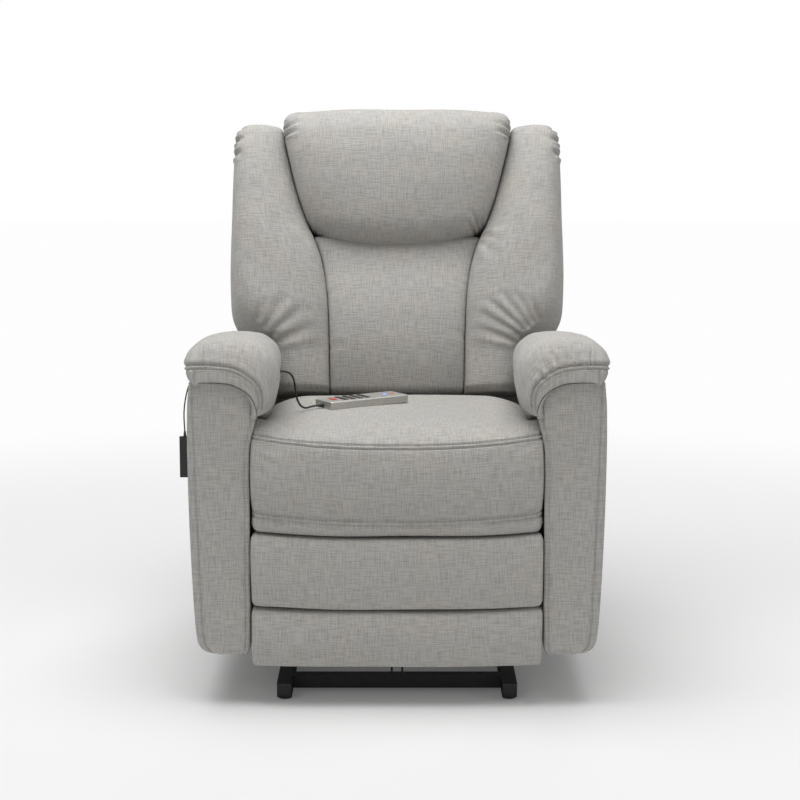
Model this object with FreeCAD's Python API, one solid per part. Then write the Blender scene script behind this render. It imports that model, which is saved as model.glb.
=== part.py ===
import FreeCAD, Part
import math
import os
from FreeCAD import Vector

# Lift recliner chair. Millimetres, +Z up, the front faces -Y, x negative is the left of the photograph.
# The origin lies on the floor under the middle of the chair.

# Overall
width = 780.0
arm_front_y = -430.0
arm_rear_y = 380.0
fit_gap = 0.3
level_step = 28.0

# Seat
arm_inner_x = 277.0
seat_side_gap = 11.0
seat_half_width = arm_inner_x - seat_side_gap
seat_front_y = -440.0
seat_front_bulge = 10.0
seat_rear_y = 95.0
seat_bottom_z = 331.0
seat_lip_z = 366.0
seat_edge_z = 500.0
seat_crown_z = 528.0
seat_side_rise = 12.0

# Arms
arm_outer_x = 385.0
arm_foot_x = 367.0
arm_bottom_z = 102.0
arm_seam_z = 608.0
arm_corner_radius = 14.0
roll_top_z = 690.0
roll_rear_y = 60.0
roll_foot_z = 512.0
roll_bulge = 46.0
roll_rear_drop = 42.0
roll_rear_draw = 16.0
arm_sweep_radius = 214.0
cavity_margin = 15.0
cavity_top_z = 530.0
arm_post = 36.0

# Backrest, in its own upright frame whose origin is the recline hinge
hinge_y = 150.0
hinge_z = 400.0
back_lean = 16.5
soft_gap = 0.5
back_pad_rear = 15.0
back_frame_front = 20.0
back_frame_rear = 80.0
cover_rear = 123.0
cover_edge_rear = 113.0
cover_front = 88.0
post_in = 114.0
post_out = 143.0
frame_rail = 40.0
frame_middle = 330.0
strap_width = 50.0
lumbar_low = 98.0
lumbar_half_low = 149.0
lumbar_half_high = 173.0
pillow_low = 408.0
pillow_high = 715.0
pillow_half_low = 177.0
pillow_half_high = 252.0
wing_low = 220.0
wing_high = 685.0
wing_outer = 355.0
bolster_outer = 262.0
wing_depth = 128.0

# Steelwork
rail_size = 28.0
rail_x = 213.0
rail_front_y = -388.0
rail_rear_y = 330.0
tube_wall = 2.0
glide_height = 6.0
cross_tube_height = 25.0
front_tube_y = -330.0
rear_tube_y = 300.0
plate = 6.0
side_plate = 4.0
side_plate_low_z = 92.0
bracket_x = 224.0
lift_arm_x = 214.0
lift_arm_thickness = 12.0
lift_arm_height = 30.0
guide_x = 194.0
guide_bracket_x = 202.0
guide_height = 24.0
pin_radius = 6.0
pin_clearance = 0.08
open_clearance = 4.0
eye_radius = 18.0
torque_tube_radius = 14.0

# Pivots as (y, z)
lift_pivot = (240.0, 150.0)
chassis_pivot = (-178.0, 113.0)
guide_pivot = (60.0, 171.7)
guide_eye = (-264.6, 137.5)
footrest_pivot = (-370.0, 310.0)
chassis_front_tube = (-290.0, 312.0)
chassis_rear_tube = (50.0, 245.0)
chassis_tube_size = 20.0

# Travels in degrees
lift_travel = 40.0
recline_travel = 45.0
rear_link_travel = 130.0

# Footrest
rear_link_length = 180.0
rear_link_rest = -140.0
front_link_length = 131.0
front_link_rest = 11.5
link_eye_radius = 12.0
link_pin_radius = 5.0
footrest_side_gap = 11.0
footrest_half_width = arm_inner_x - footrest_side_gap
footrest_low_z = 85.0
footrest_split_z = 191.5
footrest_rear_y = -392.0
footrest_edge_y = -434.0
footrest_front_y = -450.0
board_thickness = 12.0
board_half_width = 230.0

# Actuators
lift_lever = 80.0
lift_lever_lead = 9.0
lift_motor_pivot = (-330.0, 64.0)
back_lever = 100.0
back_lever_lead = 5.0
back_motor_pivot = (-290.0, 280.0)
back_motor_x = 110.0
leg_lever = 45.0
drive_shaft_radius = 8.0
leg_lever_lead = 4.0
leg_motor_pivot = (50.0, 284.0)
leg_motor_x = -110.0
motor_radius = 21.0
rod_radius = 8.0
motor_eye_radius = 12.0
fork_eye_radius = 11.0
fork_gap = 1.0
fork_cheek = 4.0
lever_thickness = 8.0

# Grommet in the roll of the left arm
grommet_y = -270.0
grommet_z = 612.0
grommet_radius = 5.0
grommet_depth = 18.0

# Handset
handset_centre = (-69.0, -150.0)
handset_turn = 34.0
handset_length = 180.0
handset_width = 60.0
handset_height = 17.0
handset_wall = 2.5
button_proud = 1.5
button_size = (9.0, 18.0)
button_pitch = (17.0, 21.0)
button_rows = 4
first_button = 42.0
red_button_at = 22.0
lens_at = 160.0
lens_radius = 5.5
lamp_at = 143.0
lamp_radius = 3.0

# Cords
cord_diameter = 4.0
tag_cord_diameter = 2.6
tag_size = (21.0, 3.0, 79.0)
tag_top = (-399.4, -330.0, 497.0)
ferrule_length = 10.0
ferrule_radius = 3.0

sides = (1.0, -1.0)
os.makedirs("parts", exist_ok=True)


# Helpers

def save(name, shape):
    shape.exportStep("parts/" + name + ".step")
    b = shape.optimalBoundingBox()
    print(name, len(shape.Solids), round(shape.Volume / 1000.0, 2), "cm3", shape.isValid(),
          [round(v) for v in (b.XMin, b.XMax, b.YMin, b.YMax, b.ZMin, b.ZMax)])


def group(solids):
    return Part.makeCompound(solids)


def mirrored(shape):
    return shape.mirror(Vector(0, 0, 0), Vector(1, 0, 0))


def both_sides(shape):
    return [shape, mirrored(shape)]


def box(x0, x1, y0, y1, z0, z1):
    return Part.makeBox(x1 - x0, y1 - y0, z1 - z0, Vector(x0, y0, z0))


def cylinder_x(radius, x0, x1, centre):
    return Part.makeCylinder(radius, x1 - x0, Vector(x0, centre[0], centre[1]), Vector(1, 0, 0))


def tube_x(x0, x1, centre, height):
    # Square tube that runs across the chair.
    outer = box(x0, x1, centre[0] - height / 2, centre[0] + height / 2,
                centre[1] - height / 2, centre[1] + height / 2)
    hollow = height / 2 - tube_wall
    inner = box(x0 - 1, x1 + 1, centre[0] - hollow, centre[0] + hollow, centre[1] - hollow, centre[1] + hollow)
    return outer.cut(inner)


def plate_yz(x0, x1, points):
    # Flat plate across x with a polygon of (y, z) corners.
    corners = [Vector(x0, p[0], p[1]) for p in points]
    face = Part.Face(Part.makePolygon(corners + corners[:1]))
    return face.extrude(Vector(x1 - x0, 0, 0))


def turned(point, centre, degrees):
    # A (y, z) point turned about a centre; positive turns +y towards +z.
    a = math.radians(degrees)
    y = point[0] - centre[0]
    z = point[1] - centre[1]
    return (centre[0] + y * math.cos(a) - z * math.sin(a),
            centre[1] + y * math.sin(a) + z * math.cos(a))


def bearing(start, end):
    return math.degrees(math.atan2(end[1] - start[1], end[0] - start[0]))


def distance(start, end):
    return math.hypot(end[0] - start[0], end[1] - start[1])


def link(x0, x1, start, end, half_height, eye, bore_start, bore_end):
    # Flat link between two eyes, with a bore at each.
    length = distance(start, end)
    bar = Part.makeBox(x1 - x0, length, 2 * half_height, Vector(x0, start[0], start[1] - half_height))
    bar.rotate(Vector(0, start[0], start[1]), Vector(1, 0, 0), bearing(start, end))
    body = bar.fuse([cylinder_x(eye, x0, x1, start), cylinder_x(eye, x0, x1, end)])
    body = body.cut(cylinder_x(bore_start, x0 - 1, x1 + 1, start))
    return body.cut(cylinder_x(bore_end, x0 - 1, x1 + 1, end)).removeSplitter()


def arc(a, mid, b):
    return Part.Arc(Vector(*a), Vector(*mid), Vector(*b)).toShape()


def line(a, b):
    return Part.LineSegment(Vector(*a), Vector(*b)).toShape()


def pad_section(h, u0, u1, rear, edge, crown, draw=0.0, bulge=4.0):
    # One level of a pad: flat behind, drawn-in sides that bulge, and a crowned front, seen from above.
    # rear, edge and crown are places along y; draw brings the front corners in.
    middle = (u0 + u1) / 2
    side = (rear + edge) / 2
    p0 = (u0 + bulge, rear, h)
    p1 = (u1 - bulge, rear, h)
    p2 = (u1 - bulge - draw, edge, h)
    p3 = (u0 + bulge + draw, edge, h)
    return Part.Wire([line(p0, p1), arc(p1, (u1, side, h), p2),
                      arc(p2, (middle, crown, h), p3), arc(p3, (u0, side, h), p0)])


def smooth_between(places, values, place):
    # Value at a place on a smooth curve through the given ones, which never swings past them.
    count = len(places)
    slopes = [(values[i + 1] - values[i]) / (places[i + 1] - places[i]) for i in range(count - 1)]
    tangents = [slopes[0]]
    for i in range(1, count - 1):
        product = slopes[i - 1] * slopes[i]
        tangents.append(2 * product / (slopes[i - 1] + slopes[i]) if product > 0 else 0.0)
    tangents.append(slopes[-1])
    i = 0
    while i < count - 2 and place > places[i + 1]:
        i += 1
    span = places[i + 1] - places[i]
    t = (place - places[i]) / span
    return ((1 + 2 * t) * (1 - t) ** 2 * values[i] + t * (1 - t) ** 2 * span * tangents[i]
            + t * t * (3 - 2 * t) * values[i + 1] + t * t * (t - 1) * span * tangents[i + 1])


def finer(levels, step):
    # The given levels and smooth ones between them, no further apart than a step.
    places = [level[0] for level in levels]
    columns = list(zip(*levels))
    rows = []
    for low, high in zip(places, places[1:]):
        count = max(1, int(math.ceil((high - low) / step)))
        for k in range(count):
            rows.append(low + (high - low) * k / count)
    rows.append(places[-1])
    return [[h] + [smooth_between(places, column, h) for column in columns[1:]] for h in rows]


def pad(levels):
    return Part.makeLoft([pad_section(*level) for level in finer(levels, level_step)], True, True)


def lean_back(shape):
    # From the backrest's upright frame, whose origin is the recline hinge, to the chair.
    shape = shape.copy()
    shape.translate(Vector(0, hinge_y, hinge_z))
    shape.rotate(Vector(0, hinge_y, hinge_z), Vector(1, 0, 0), -back_lean)
    return shape


def lever_window(x0, x1, pin_path, pivot, rest):
    # Opening in a lever that clears the drive pin through the whole travel.
    # pin_path holds the pin's places as the lever sees them, which wander a little about its rest place.
    turn = -bearing(pivot, rest)
    flat = [turned(p, pivot, turn) for p in pin_path]
    clear = pin_radius + 1.0
    ys = [p[0] for p in flat]
    zs = [p[1] for p in flat]
    window = box(x0 - 1, x1 + 1, min(ys) - clear, max(ys) + clear, min(zs) - clear, max(zs) + clear)
    rounded = window.makeFillet(clear - 1.0, [e for e in window.Edges if abs(e.BoundBox.XLength - x1 + x0 - 2) < 0.01])
    size = (max(ys) - min(ys) + 2 * clear, max(zs) - min(zs) + 2 * clear)
    rounded.rotate(Vector(0, pivot[0], pivot[1]), Vector(1, 0, 0), -turn)
    return rounded, size


def tangent_rest(motor, pivot, radius, below, half_sweep, lead):
    # Rest place of a drive pin whose lever stands square to the rod part way through its sweep.
    reach = distance(motor, pivot)
    open_angle = math.degrees(math.acos(radius / reach))
    back = bearing(pivot, motor)
    angle = back + open_angle if below else back - open_angle
    return turned((pivot[0] + radius, pivot[1]), pivot, angle + half_sweep - lead)


def pin_path(motor, pivot, rest, travel, steps=24):
    # Where the rod's pin runs, seen from the lever, when swing and stroke grow evenly with the lever's turn.
    end = turned(rest, pivot, travel)
    swing = bearing(motor, end) - bearing(motor, rest)
    stroke = distance(motor, end) - distance(motor, rest)
    places = []
    for step in range(steps + 1):
        s = step / steps
        a = math.radians(bearing(motor, rest) + swing * s)
        reach = distance(motor, rest) + stroke * s
        pin = (motor[0] + reach * math.cos(a), motor[1] + reach * math.sin(a))
        places.append(turned(pin, pivot, -travel * s))
    return places, swing, stroke


def motor(x, pivot, pin, gland_share, fork_depth, rod_out):
    # Linear drive: a housing with a rear eye and a gearbox, and a rod with a forked front eye.
    # It is drawn along +y from the pivot and then turned towards the pin.
    reach = distance(pivot, pin)
    gland = reach * gland_share
    y0 = pivot[0]
    z0 = pivot[1]
    body = Part.makeCylinder(motor_radius, gland - 2 * motor_eye_radius,
                             Vector(x, y0 + 2 * motor_eye_radius, z0), Vector(0, 1, 0))
    neck = box(x - 7, x + 7, y0, y0 + 2 * motor_eye_radius + 1, z0 - motor_eye_radius, z0 + motor_eye_radius)
    eye = cylinder_x(motor_eye_radius, x - 7, x + 7, pivot)
    housing = body.fuse([neck, eye])
    channel = Part.makeCylinder(rod_radius + 0.1, gland, Vector(x, y0 + 2 * motor_eye_radius + 4, z0),
                                Vector(0, 1, 0))
    housing = housing.cut(channel).cut(cylinder_x(pin_radius + pin_clearance, x - 8, x + 8, pivot))
    end = y0 + reach
    rod_start = y0 + gland * 0.5 if rod_out else y0 + 2 * motor_eye_radius + 5
    half = lever_thickness / 2 + fork_gap
    web_front = end - fork_depth
    rod = Part.makeCylinder(rod_radius, web_front - 6 - rod_start, Vector(x, rod_start, z0), Vector(0, 1, 0))
    outer = half + fork_cheek
    web = box(x - outer, x + outer, web_front - 8, web_front, z0 - 9, z0 + 9)
    cheeks = []
    for side in sides:
        near = min(side * half, side * outer)
        cheek = box(x + near, x + near + fork_cheek, web_front - 2, end, z0 - 9, z0 + 9)
        cheeks.append(cheek.fuse(cylinder_x(fork_eye_radius, x + near, x + near + fork_cheek, (end, z0))))
    pin_bar = cylinder_x(pin_radius, x - outer - 2, x + outer + 2, (end, z0))
    rod = rod.fuse([web] + cheeks + [pin_bar])
    turn = bearing(pivot, pin)
    for shape in (housing, rod):
        shape.rotate(Vector(0, y0, z0), Vector(1, 0, 0), turn)
    return housing.removeSplitter(), rod.removeSplitter()


def clevis(x, pivot, root_z, thickness=fork_cheek, half=7.0 + fork_gap, reach=11.0):
    # Two cheeks and a pin that carry a motor eye; root_z is the face that they stand on or hang from.
    low = min(root_z, pivot[1])
    high = max(root_z, pivot[1])
    parts = []
    for side in sides:
        near = min(side * half, side * (half + thickness))
        cheek = box(x + near, x + near + thickness, pivot[0] - reach, pivot[0] + reach, low, high)
        cheek = cheek.fuse(cylinder_x(reach, x + near, x + near + thickness, pivot))
        parts.append(cheek.removeSplitter())
    pin = cylinder_x(pin_radius, x - half - thickness, x + half + thickness, pivot)
    return parts[0].fuse([parts[1], pin])


def cord_tube(points, diameter, name):
    # Straight runs joined by tangent arcs, each arc as large as its two runs allow.
    pts = [Vector(*p) for p in points]
    edges = []
    radii = []
    last = pts[0]
    for i in range(1, len(pts) - 1):
        a = pts[i - 1] - pts[i]
        b = pts[i + 1] - pts[i]
        shorter = min(a.Length, b.Length)
        turn = math.pi - a.getAngle(b)
        trim = 0.45 * shorter
        radius = trim / math.tan(turn / 2)
        radii.append(radius)
        a.normalize()
        b.normalize()
        start = pts[i] + a * trim
        end = pts[i] + b * trim
        inward = a + b
        inward.normalize()
        middle = pts[i] + inward * (radius / math.cos(turn / 2) - radius)
        edges.append(Part.LineSegment(last, start).toShape())
        edges.append(Part.Arc(start, middle, end).toShape())
        last = end
    edges.append(Part.LineSegment(last, pts[-1]).toShape())
    spine = Part.Wire(edges)
    ring = Part.Wire([Part.makeCircle(diameter / 2, pts[0], pts[1] - pts[0])])
    tube = spine.makePipeShell([ring], True, False)
    want = math.pi * diameter ** 2 / 4 * spine.Length
    print(name, "length", round(spine.Length, 1), "least radius", round(min(radii), 1),
          "volume share", round(tube.Volume / want, 4))
    return tube


# Base frame

def make_base():
    top = glide_height + rail_size
    rail = box(rail_x - rail_size / 2, rail_x + rail_size / 2, rail_front_y, rail_rear_y, glide_height, top)
    hollow = box(rail_x - rail_size / 2 + tube_wall, rail_x + rail_size / 2 - tube_wall,
                 rail_front_y - 1, rail_rear_y + 1, glide_height + tube_wall, top - tube_wall)
    save("base_side_rails", group(both_sides(rail.cut(hollow))))

    inner = rail_x - rail_size / 2
    level = glide_height + 4 + cross_tube_height / 2
    tubes = [tube_x(-inner, inner, (y, level), cross_tube_height) for y in (front_tube_y, rear_tube_y)]
    save("base_cross_tubes", group(tubes))

    glides = []
    for x in (-rail_x, rail_x):
        for y in (rail_front_y + 20, rail_rear_y - 20):
            foot = Part.makeCone(13.0, 11.0, glide_height, Vector(x, y, 0), Vector(0, 0, 1))
            glides.append(foot)
    save("base_glides", group(glides))

    brackets = []
    for pivot, x in ((lift_pivot, bracket_x), (guide_pivot, guide_bracket_x)):
        upright = box(x - plate / 2, x + plate / 2, pivot[0] - 26, pivot[0] + 26, top, pivot[1])
        head = cylinder_x(26.0, x - plate / 2, x + plate / 2, pivot)
        bracket = upright.fuse(head).cut(cylinder_x(pin_radius, 0, width, pivot)).removeSplitter()
        brackets += both_sides(bracket)
    tube_top = level + cross_tube_height / 2
    brackets.append(clevis(0, lift_motor_pivot, tube_top))
    save("base_pivot_brackets", group(brackets))

    pins = []
    lift_pin = cylinder_x(pin_radius, lift_arm_x - lift_arm_thickness / 2 + 1, bracket_x + plate / 2 + 2,
                          lift_pivot)
    guide_pin = cylinder_x(pin_radius, guide_x - plate / 2 - 2, guide_bracket_x + plate / 2, guide_pivot)
    pins += both_sides(lift_pin) + both_sides(guide_pin)
    save("base_pivot_pins", group(pins))


# Lift linkage

def make_lift():
    x0 = lift_arm_x - lift_arm_thickness / 2
    x1 = lift_arm_x + lift_arm_thickness / 2
    bore = pin_radius + pin_clearance
    arm = link(x0, x1, lift_pivot, chassis_pivot, lift_arm_height / 2, eye_radius, bore, bore)
    cross = cylinder_x(torque_tube_radius, -x0, x0, lift_pivot)
    cross = cross.cut(cylinder_x(torque_tube_radius - 3, -x0 - 1, x0 + 1, lift_pivot))
    rest = tangent_rest(lift_motor_pivot, lift_pivot, lift_lever, False, lift_travel / 2, lift_lever_lead)
    path, swing, stroke = pin_path(lift_motor_pivot, lift_pivot, rest, -lift_travel)
    half = lever_thickness / 2
    window, size = lever_window(-half, half, path, lift_pivot, rest)
    lever = link(-half, half, lift_pivot, rest, size[1] / 2 + 4, torque_tube_radius + 5,
                 torque_tube_radius, pin_radius)
    tip = cylinder_x(size[1] / 2 + 7, -half, half, rest)
    lever = lever.fuse(tip).cut(cylinder_x(torque_tube_radius, -half - 1, half + 1, lift_pivot)).cut(window)
    save("lift_frame", group(both_sides(arm) + [cross, lever.removeSplitter()]))

    guide = link(guide_x - plate / 2, guide_x + plate / 2, guide_pivot, guide_eye, guide_height / 2,
                 eye_radius - 4, bore, pin_radius + open_clearance)
    save("guide_links", group(both_sides(guide)))

    housing, rod = motor(0, lift_motor_pivot, rest, 0.80, 30.0, False)
    save("lift_actuator_housing", housing)
    save("lift_actuator_rod", rod)
    print("lift actuator rest", rest, "swing", swing, "stroke", stroke, "window", size)


# Chassis

def make_chassis():
    x0 = arm_inner_x - fit_gap - side_plate
    x1 = arm_inner_x - fit_gap
    hinge = (hinge_y, hinge_z)
    rim = 22.0
    corners = [(footrest_pivot[0] - 16, footrest_pivot[1] + 15), (footrest_pivot[0] - 16, footrest_pivot[1] - 15),
               (guide_eye[0] - 20, guide_eye[1] - 16), (chassis_pivot[0] - 22, side_plate_low_z),
               (chassis_pivot[0] + 22, side_plate_low_z), (chassis_rear_tube[0] + 60, chassis_rear_tube[1] - 45),
               (298.0, chassis_rear_tube[1] - 45), (298.0, seat_bottom_z - 6),
               (hinge_y + 30, seat_bottom_z - 6), (hinge_y + rim, hinge_z), (hinge_y - rim, hinge_z),
               (hinge_y - 30, seat_bottom_z - 6)]
    side = plate_yz(x0, x1, corners).fuse(cylinder_x(rim, x0, x1, hinge))
    for pivot, radius in ((hinge, pin_radius), (footrest_pivot, link_pin_radius),
                          (chassis_pivot, pin_radius), (guide_eye, pin_radius)):
        side = side.cut(cylinder_x(radius, x0 - 1, x1 + 1, pivot))
    save("chassis_side_plates", group(both_sides(side.removeSplitter())))

    front = tube_x(-x0, x0, chassis_front_tube, chassis_tube_size)
    rear = tube_x(-x0, x0, chassis_rear_tube, chassis_tube_size)
    clevises = [clevis(back_motor_x, back_motor_pivot, chassis_front_tube[1] - chassis_tube_size / 2),
                clevis(leg_motor_x, leg_motor_pivot, chassis_rear_tube[1] + chassis_tube_size / 2)]
    save("chassis_cross_tubes", group([front, rear] + clevises))

    pins = [cylinder_x(pin_radius, x0 - 10, x1, hinge),
            cylinder_x(link_pin_radius, x0 - 1 - plate, x1, footrest_pivot),
            cylinder_x(pin_radius, lift_arm_x - lift_arm_thickness / 2 - 2, x1, chassis_pivot),
            cylinder_x(pin_radius, guide_x - plate / 2 - 2, x1, guide_eye)]
    save("chassis_pivot_pins", group([p for pin in pins for p in both_sides(pin)]))

    wire = 4.0
    reach = x0 - fit_gap
    turns = 12
    amplitude = 16.0
    level = seat_bottom_z - fit_gap - wire / 2
    springs = []
    for row in range(5):
        y = -320.0 + row * 95.0
        pitch = 2 * reach / turns
        edges = []
        for k in range(turns):
            a = -reach + k * pitch
            rise = amplitude if k % 2 == 0 else -amplitude
            edges.append(arc((a, y, level), (a + pitch / 2, y + rise, level), (a + pitch, y, level)))
        spine = Part.Wire(edges)
        first = edges[0]
        ring = Part.Wire([Part.makeCircle(wire / 2, Vector(-reach, y, level),
                                          first.tangentAt(first.FirstParameter))])
        springs.append(spine.makePipeShell([ring], True, False, 2))
    save("seat_springs", group(springs))

    box_rear = chassis_rear_tube[0] - chassis_tube_size / 2 - fit_gap
    control = box(-245, -160, box_rear - 130, box_rear, chassis_rear_tube[1] - 22, chassis_rear_tube[1] + 18)
    control = control.makeFillet(4.0, control.Edges)
    save("control_box", control)

    half = arm_inner_x - fit_gap
    panel = box(-half, half, 300, 312, 120, seat_bottom_z + 4)
    opening = box(134, 166, 299, 313, 150, 174)
    save("rear_panel", panel.cut(opening))
    inlet = box(134.3, 165.7, 296, 313, 150.3, 173.7).fuse(box(130, 170, 312, 315, 146, 178))
    socket = box(139, 161, 303, 316, 156, 168)
    blades = [box(x - 1, x + 1, 303, 312, 159, 165) for x in (145, 155)]
    save("power_inlet", inlet.cut(socket).fuse(blades).removeSplitter())


# Seat cushion

def seat_profile(x, share):
    # share runs from 0 at the middle of the seat to 1 at its side edge, where the sides draw in.
    rise = seat_side_rise * share
    draw = 8.0 * share ** 2
    crown = seat_crown_z - 12.0 * share ** 2
    front = seat_front_y + draw
    edge = seat_edge_z + rise
    lip = seat_lip_z + 9.0 * share
    low = seat_bottom_z
    front_roll = 200.0
    rear_roll = 150.0
    rear_drop = 26.0
    return Part.Wire([
        line((x, seat_rear_y, low), (x, front + 8, low)),
        arc((x, front + 8, low), (x, front - 3, (low + lip) / 2), (x, front + 2, lip)),
        arc((x, front + 2, lip), (x, front - seat_front_bulge + draw / 2, (lip + edge) / 2), (x, front, edge)),
        arc((x, front, edge), (x, front + front_roll * 0.4, crown - (crown - edge) * 0.36),
            (x, front + front_roll, crown)),
        line((x, front + front_roll, crown), (x, seat_rear_y - rear_roll, crown)),
        arc((x, seat_rear_y - rear_roll, crown), (x, seat_rear_y - rear_roll * 0.4, crown - rear_drop * 0.36),
            (x, seat_rear_y, crown - rear_drop)),
        line((x, seat_rear_y, crown - rear_drop), (x, seat_rear_y, low))])


def make_seat():
    wires = []
    count = 20
    for k in range(count + 1):
        place = 2.0 * k / count - 1.0
        share = max(0.0, (abs(place) - 0.1) / 0.9) ** 2
        wires.append(seat_profile(seat_half_width * place, share))
    save("seat_cushion", Part.makeLoft(wires, True, True))


# Arms

def roll_section(y, shrink, drop):
    # Mushroom roll of the right arm, seen from the front: outer lip, crest, inner bulge, down to the seat.
    x_in = arm_inner_x - 7.0
    x_lip = width / 2 - shrink / 2
    top = roll_top_z - drop
    low = arm_seam_z + fit_gap
    foot = roll_foot_z
    crest = top - low
    height = top - foot
    a = (arm_outer_x - 6.0, y, low)
    b = (x_lip - 18.0, y, top - 0.31 * crest)
    c = (x_in - 22.0 + shrink, y, top - 0.16 * height)
    d = (x_in - 31.0 + shrink, y, top - 0.69 * height)
    e = (x_in, y, foot)
    f = (arm_inner_x - fit_gap, y, foot)
    g = (arm_inner_x - fit_gap, y, low)
    return Part.Wire([arc(a, (x_lip, y, low + 0.3 * crest), b), arc(b, (x_in + 36.0, y, top), c),
                      arc(c, (x_in - roll_bulge + shrink, y, top - 0.43 * height), d),
                      arc(d, (x_in - 17.0 + shrink / 2, y, foot + 0.15 * height), e),
                      line(e, f), line(f, g), line(g, a)])


def make_arms():
    shoulder = arm_seam_z - 60.0
    corners = [Vector(arm_inner_x, arm_front_y, arm_bottom_z), Vector(arm_foot_x, arm_front_y, arm_bottom_z),
               Vector(arm_outer_x, arm_front_y, shoulder), Vector(arm_outer_x - 6, arm_front_y, arm_seam_z),
               Vector(arm_inner_x, arm_front_y, arm_seam_z)]
    face = Part.Face(Part.makePolygon(corners + corners[:1]))
    cover = face.extrude(Vector(0, arm_rear_y - arm_front_y, 0))
    low_edges = [e for e in cover.Edges if abs(e.BoundBox.YLength - arm_rear_y + arm_front_y) < 0.01
                 and e.BoundBox.ZMax < arm_bottom_z + 1]
    cover = cover.makeFillet(arm_corner_radius, low_edges)
    hinge = (hinge_y, hinge_z)
    cover = cover.fuse(box(arm_inner_x, arm_outer_x - 6, roll_rear_y + soft_gap, arm_rear_y,
                           shoulder, hinge_z + arm_sweep_radius))
    slope = box(0, width, roll_rear_y, arm_rear_y + 1, hinge_z, roll_top_z + 20)
    cover = cover.cut(slope.cut(cylinder_x(arm_sweep_radius, -1, width + 1, hinge)))
    left = arm_inner_x + cavity_margin
    right = arm_foot_x - cavity_margin + 8
    front = arm_front_y + cavity_margin
    middle = roll_rear_y - cavity_margin
    rear = arm_rear_y - cavity_margin
    low = arm_bottom_z + cavity_margin
    step = hinge_z - cavity_margin
    cover = cover.cut(box(left, right, front, rear, low, step))
    cover = cover.cut(box(left, right, front, middle, low, cavity_top_z)).removeSplitter()
    save("arm_cover_right", cover)
    save("arm_cover_left", mirrored(cover))

    x0 = left + fit_gap
    x1 = right - fit_gap
    y0 = front + fit_gap
    y1 = middle - fit_gap
    y2 = rear - fit_gap
    z0 = low + fit_gap
    z1 = cavity_top_z - fit_gap
    z2 = step - fit_gap
    post = arm_post
    timber = [box(x0, x1, y0, y0 + post, z0, z1), box(x0, x1, y1 - post, y1, z0, z1),
              box(x0, x1, y2 - post, y2, z0, z2), box(x0, x1, y0 + post, y1 - post, z0, z0 + post),
              box(x0, x1, y0 + post, y1 - post, z1 - post, z1), box(x0, x1, y1, y2 - post, z0, z0 + post),
              box(x0, x1, y1, y2 - post, z2 - post, z2)]
    save("arm_frames", group([s for part in timber for s in both_sides(part)]))

    levels = ((arm_front_y - 4.0, 8.0, 8.0), (arm_front_y, 4.0, 4.0), (arm_front_y + 8.0, 1.0, 1.0),
              (arm_front_y + 20.0, 0.0, 0.0), (arm_front_y + 140.0, 0.0, 2.0),
              (arm_front_y + 280.0, roll_rear_draw * 0.35, roll_rear_drop * 0.38),
              (roll_rear_y - 60.0, roll_rear_draw * 0.8, roll_rear_drop * 0.85),
              (roll_rear_y, roll_rear_draw + 2.0, roll_rear_drop + 4.0))
    roll = Part.makeLoft([roll_section(*level) for level in levels], True, True)
    save("arm_roll_right", roll)
    bulge_x = -(arm_inner_x - 7.0 - roll_bulge)
    socket = Part.makeCylinder(grommet_radius + 0.1, grommet_depth + 1, Vector(bulge_x + 5, grommet_y, grommet_z),
                               Vector(-1, 0, 0))
    save("arm_roll_left", mirrored(roll).cut(socket))
    flange_x = bulge_x + fit_gap
    ring = Part.makeCylinder(grommet_radius, grommet_depth - 6, Vector(flange_x, grommet_y, grommet_z),
                             Vector(-1, 0, 0))
    ring = ring.fuse(Part.makeCone(grommet_radius + 3, grommet_radius + 1, 2.0,
                                   Vector(flange_x, grommet_y, grommet_z), Vector(1, 0, 0)))
    save("cable_grommet", ring)


# Backrest

def pillow_levels():
    low = pillow_half_low
    high = pillow_half_high
    rear = back_pad_rear
    return [
        (pillow_low, low - 14, rear, -84.0, -108.0, 20.0),
        (pillow_low + 6, low - 5, rear, -100.0, -128.0, 12.0),
        (pillow_low + 18, low, rear, -114.0, -142.0, 8.0),
        (pillow_low + 100, low + 18, rear, -122.0, -150.0, 6.0),
        (pillow_high - 90, high - 8, rear, -112.0, -138.0, 6.0),
        (pillow_high - 30, high, rear, -92.0, -118.0, 8.0),
        (pillow_high - 10, high - 4, rear, -72.0, -98.0, 12.0),
        (pillow_high, high - 20, rear, -44.0, -72.0, 20.0)]


def lumbar_levels():
    low = lumbar_half_low
    high = lumbar_half_high
    rear = back_pad_rear
    return [
        (lumbar_low, low, rear, -70.0, -96.0, 10.0),
        (lumbar_low + 12, low, rear, -92.0, -112.0, 6.0),
        (lumbar_low + 120, low - 2, rear, -98.0, -118.0, 5.0),
        (lumbar_low + 172, low + 2, rear, -90.0, -108.0, 5.0),
        (pillow_low - 0.5, high, rear, -66.0, -82.0, 6.0)]


def half_at(levels, h):
    # Half width of a pad at a height, held at its last value beyond its ends.
    places = [level[0] for level in levels]
    h = min(max(h, places[0]), places[-1])
    return smooth_between(places, [level[1] for level in levels], h)


def inner_at(h):
    # Where a wing's inner side lies: beside the lumbar cushion, and then beside the head pillow.
    if h < pillow_low:
        return half_at(lumbar_levels(), h) + soft_gap
    return half_at(pillow_levels(), max(h, pillow_low + 18)) + soft_gap


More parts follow.
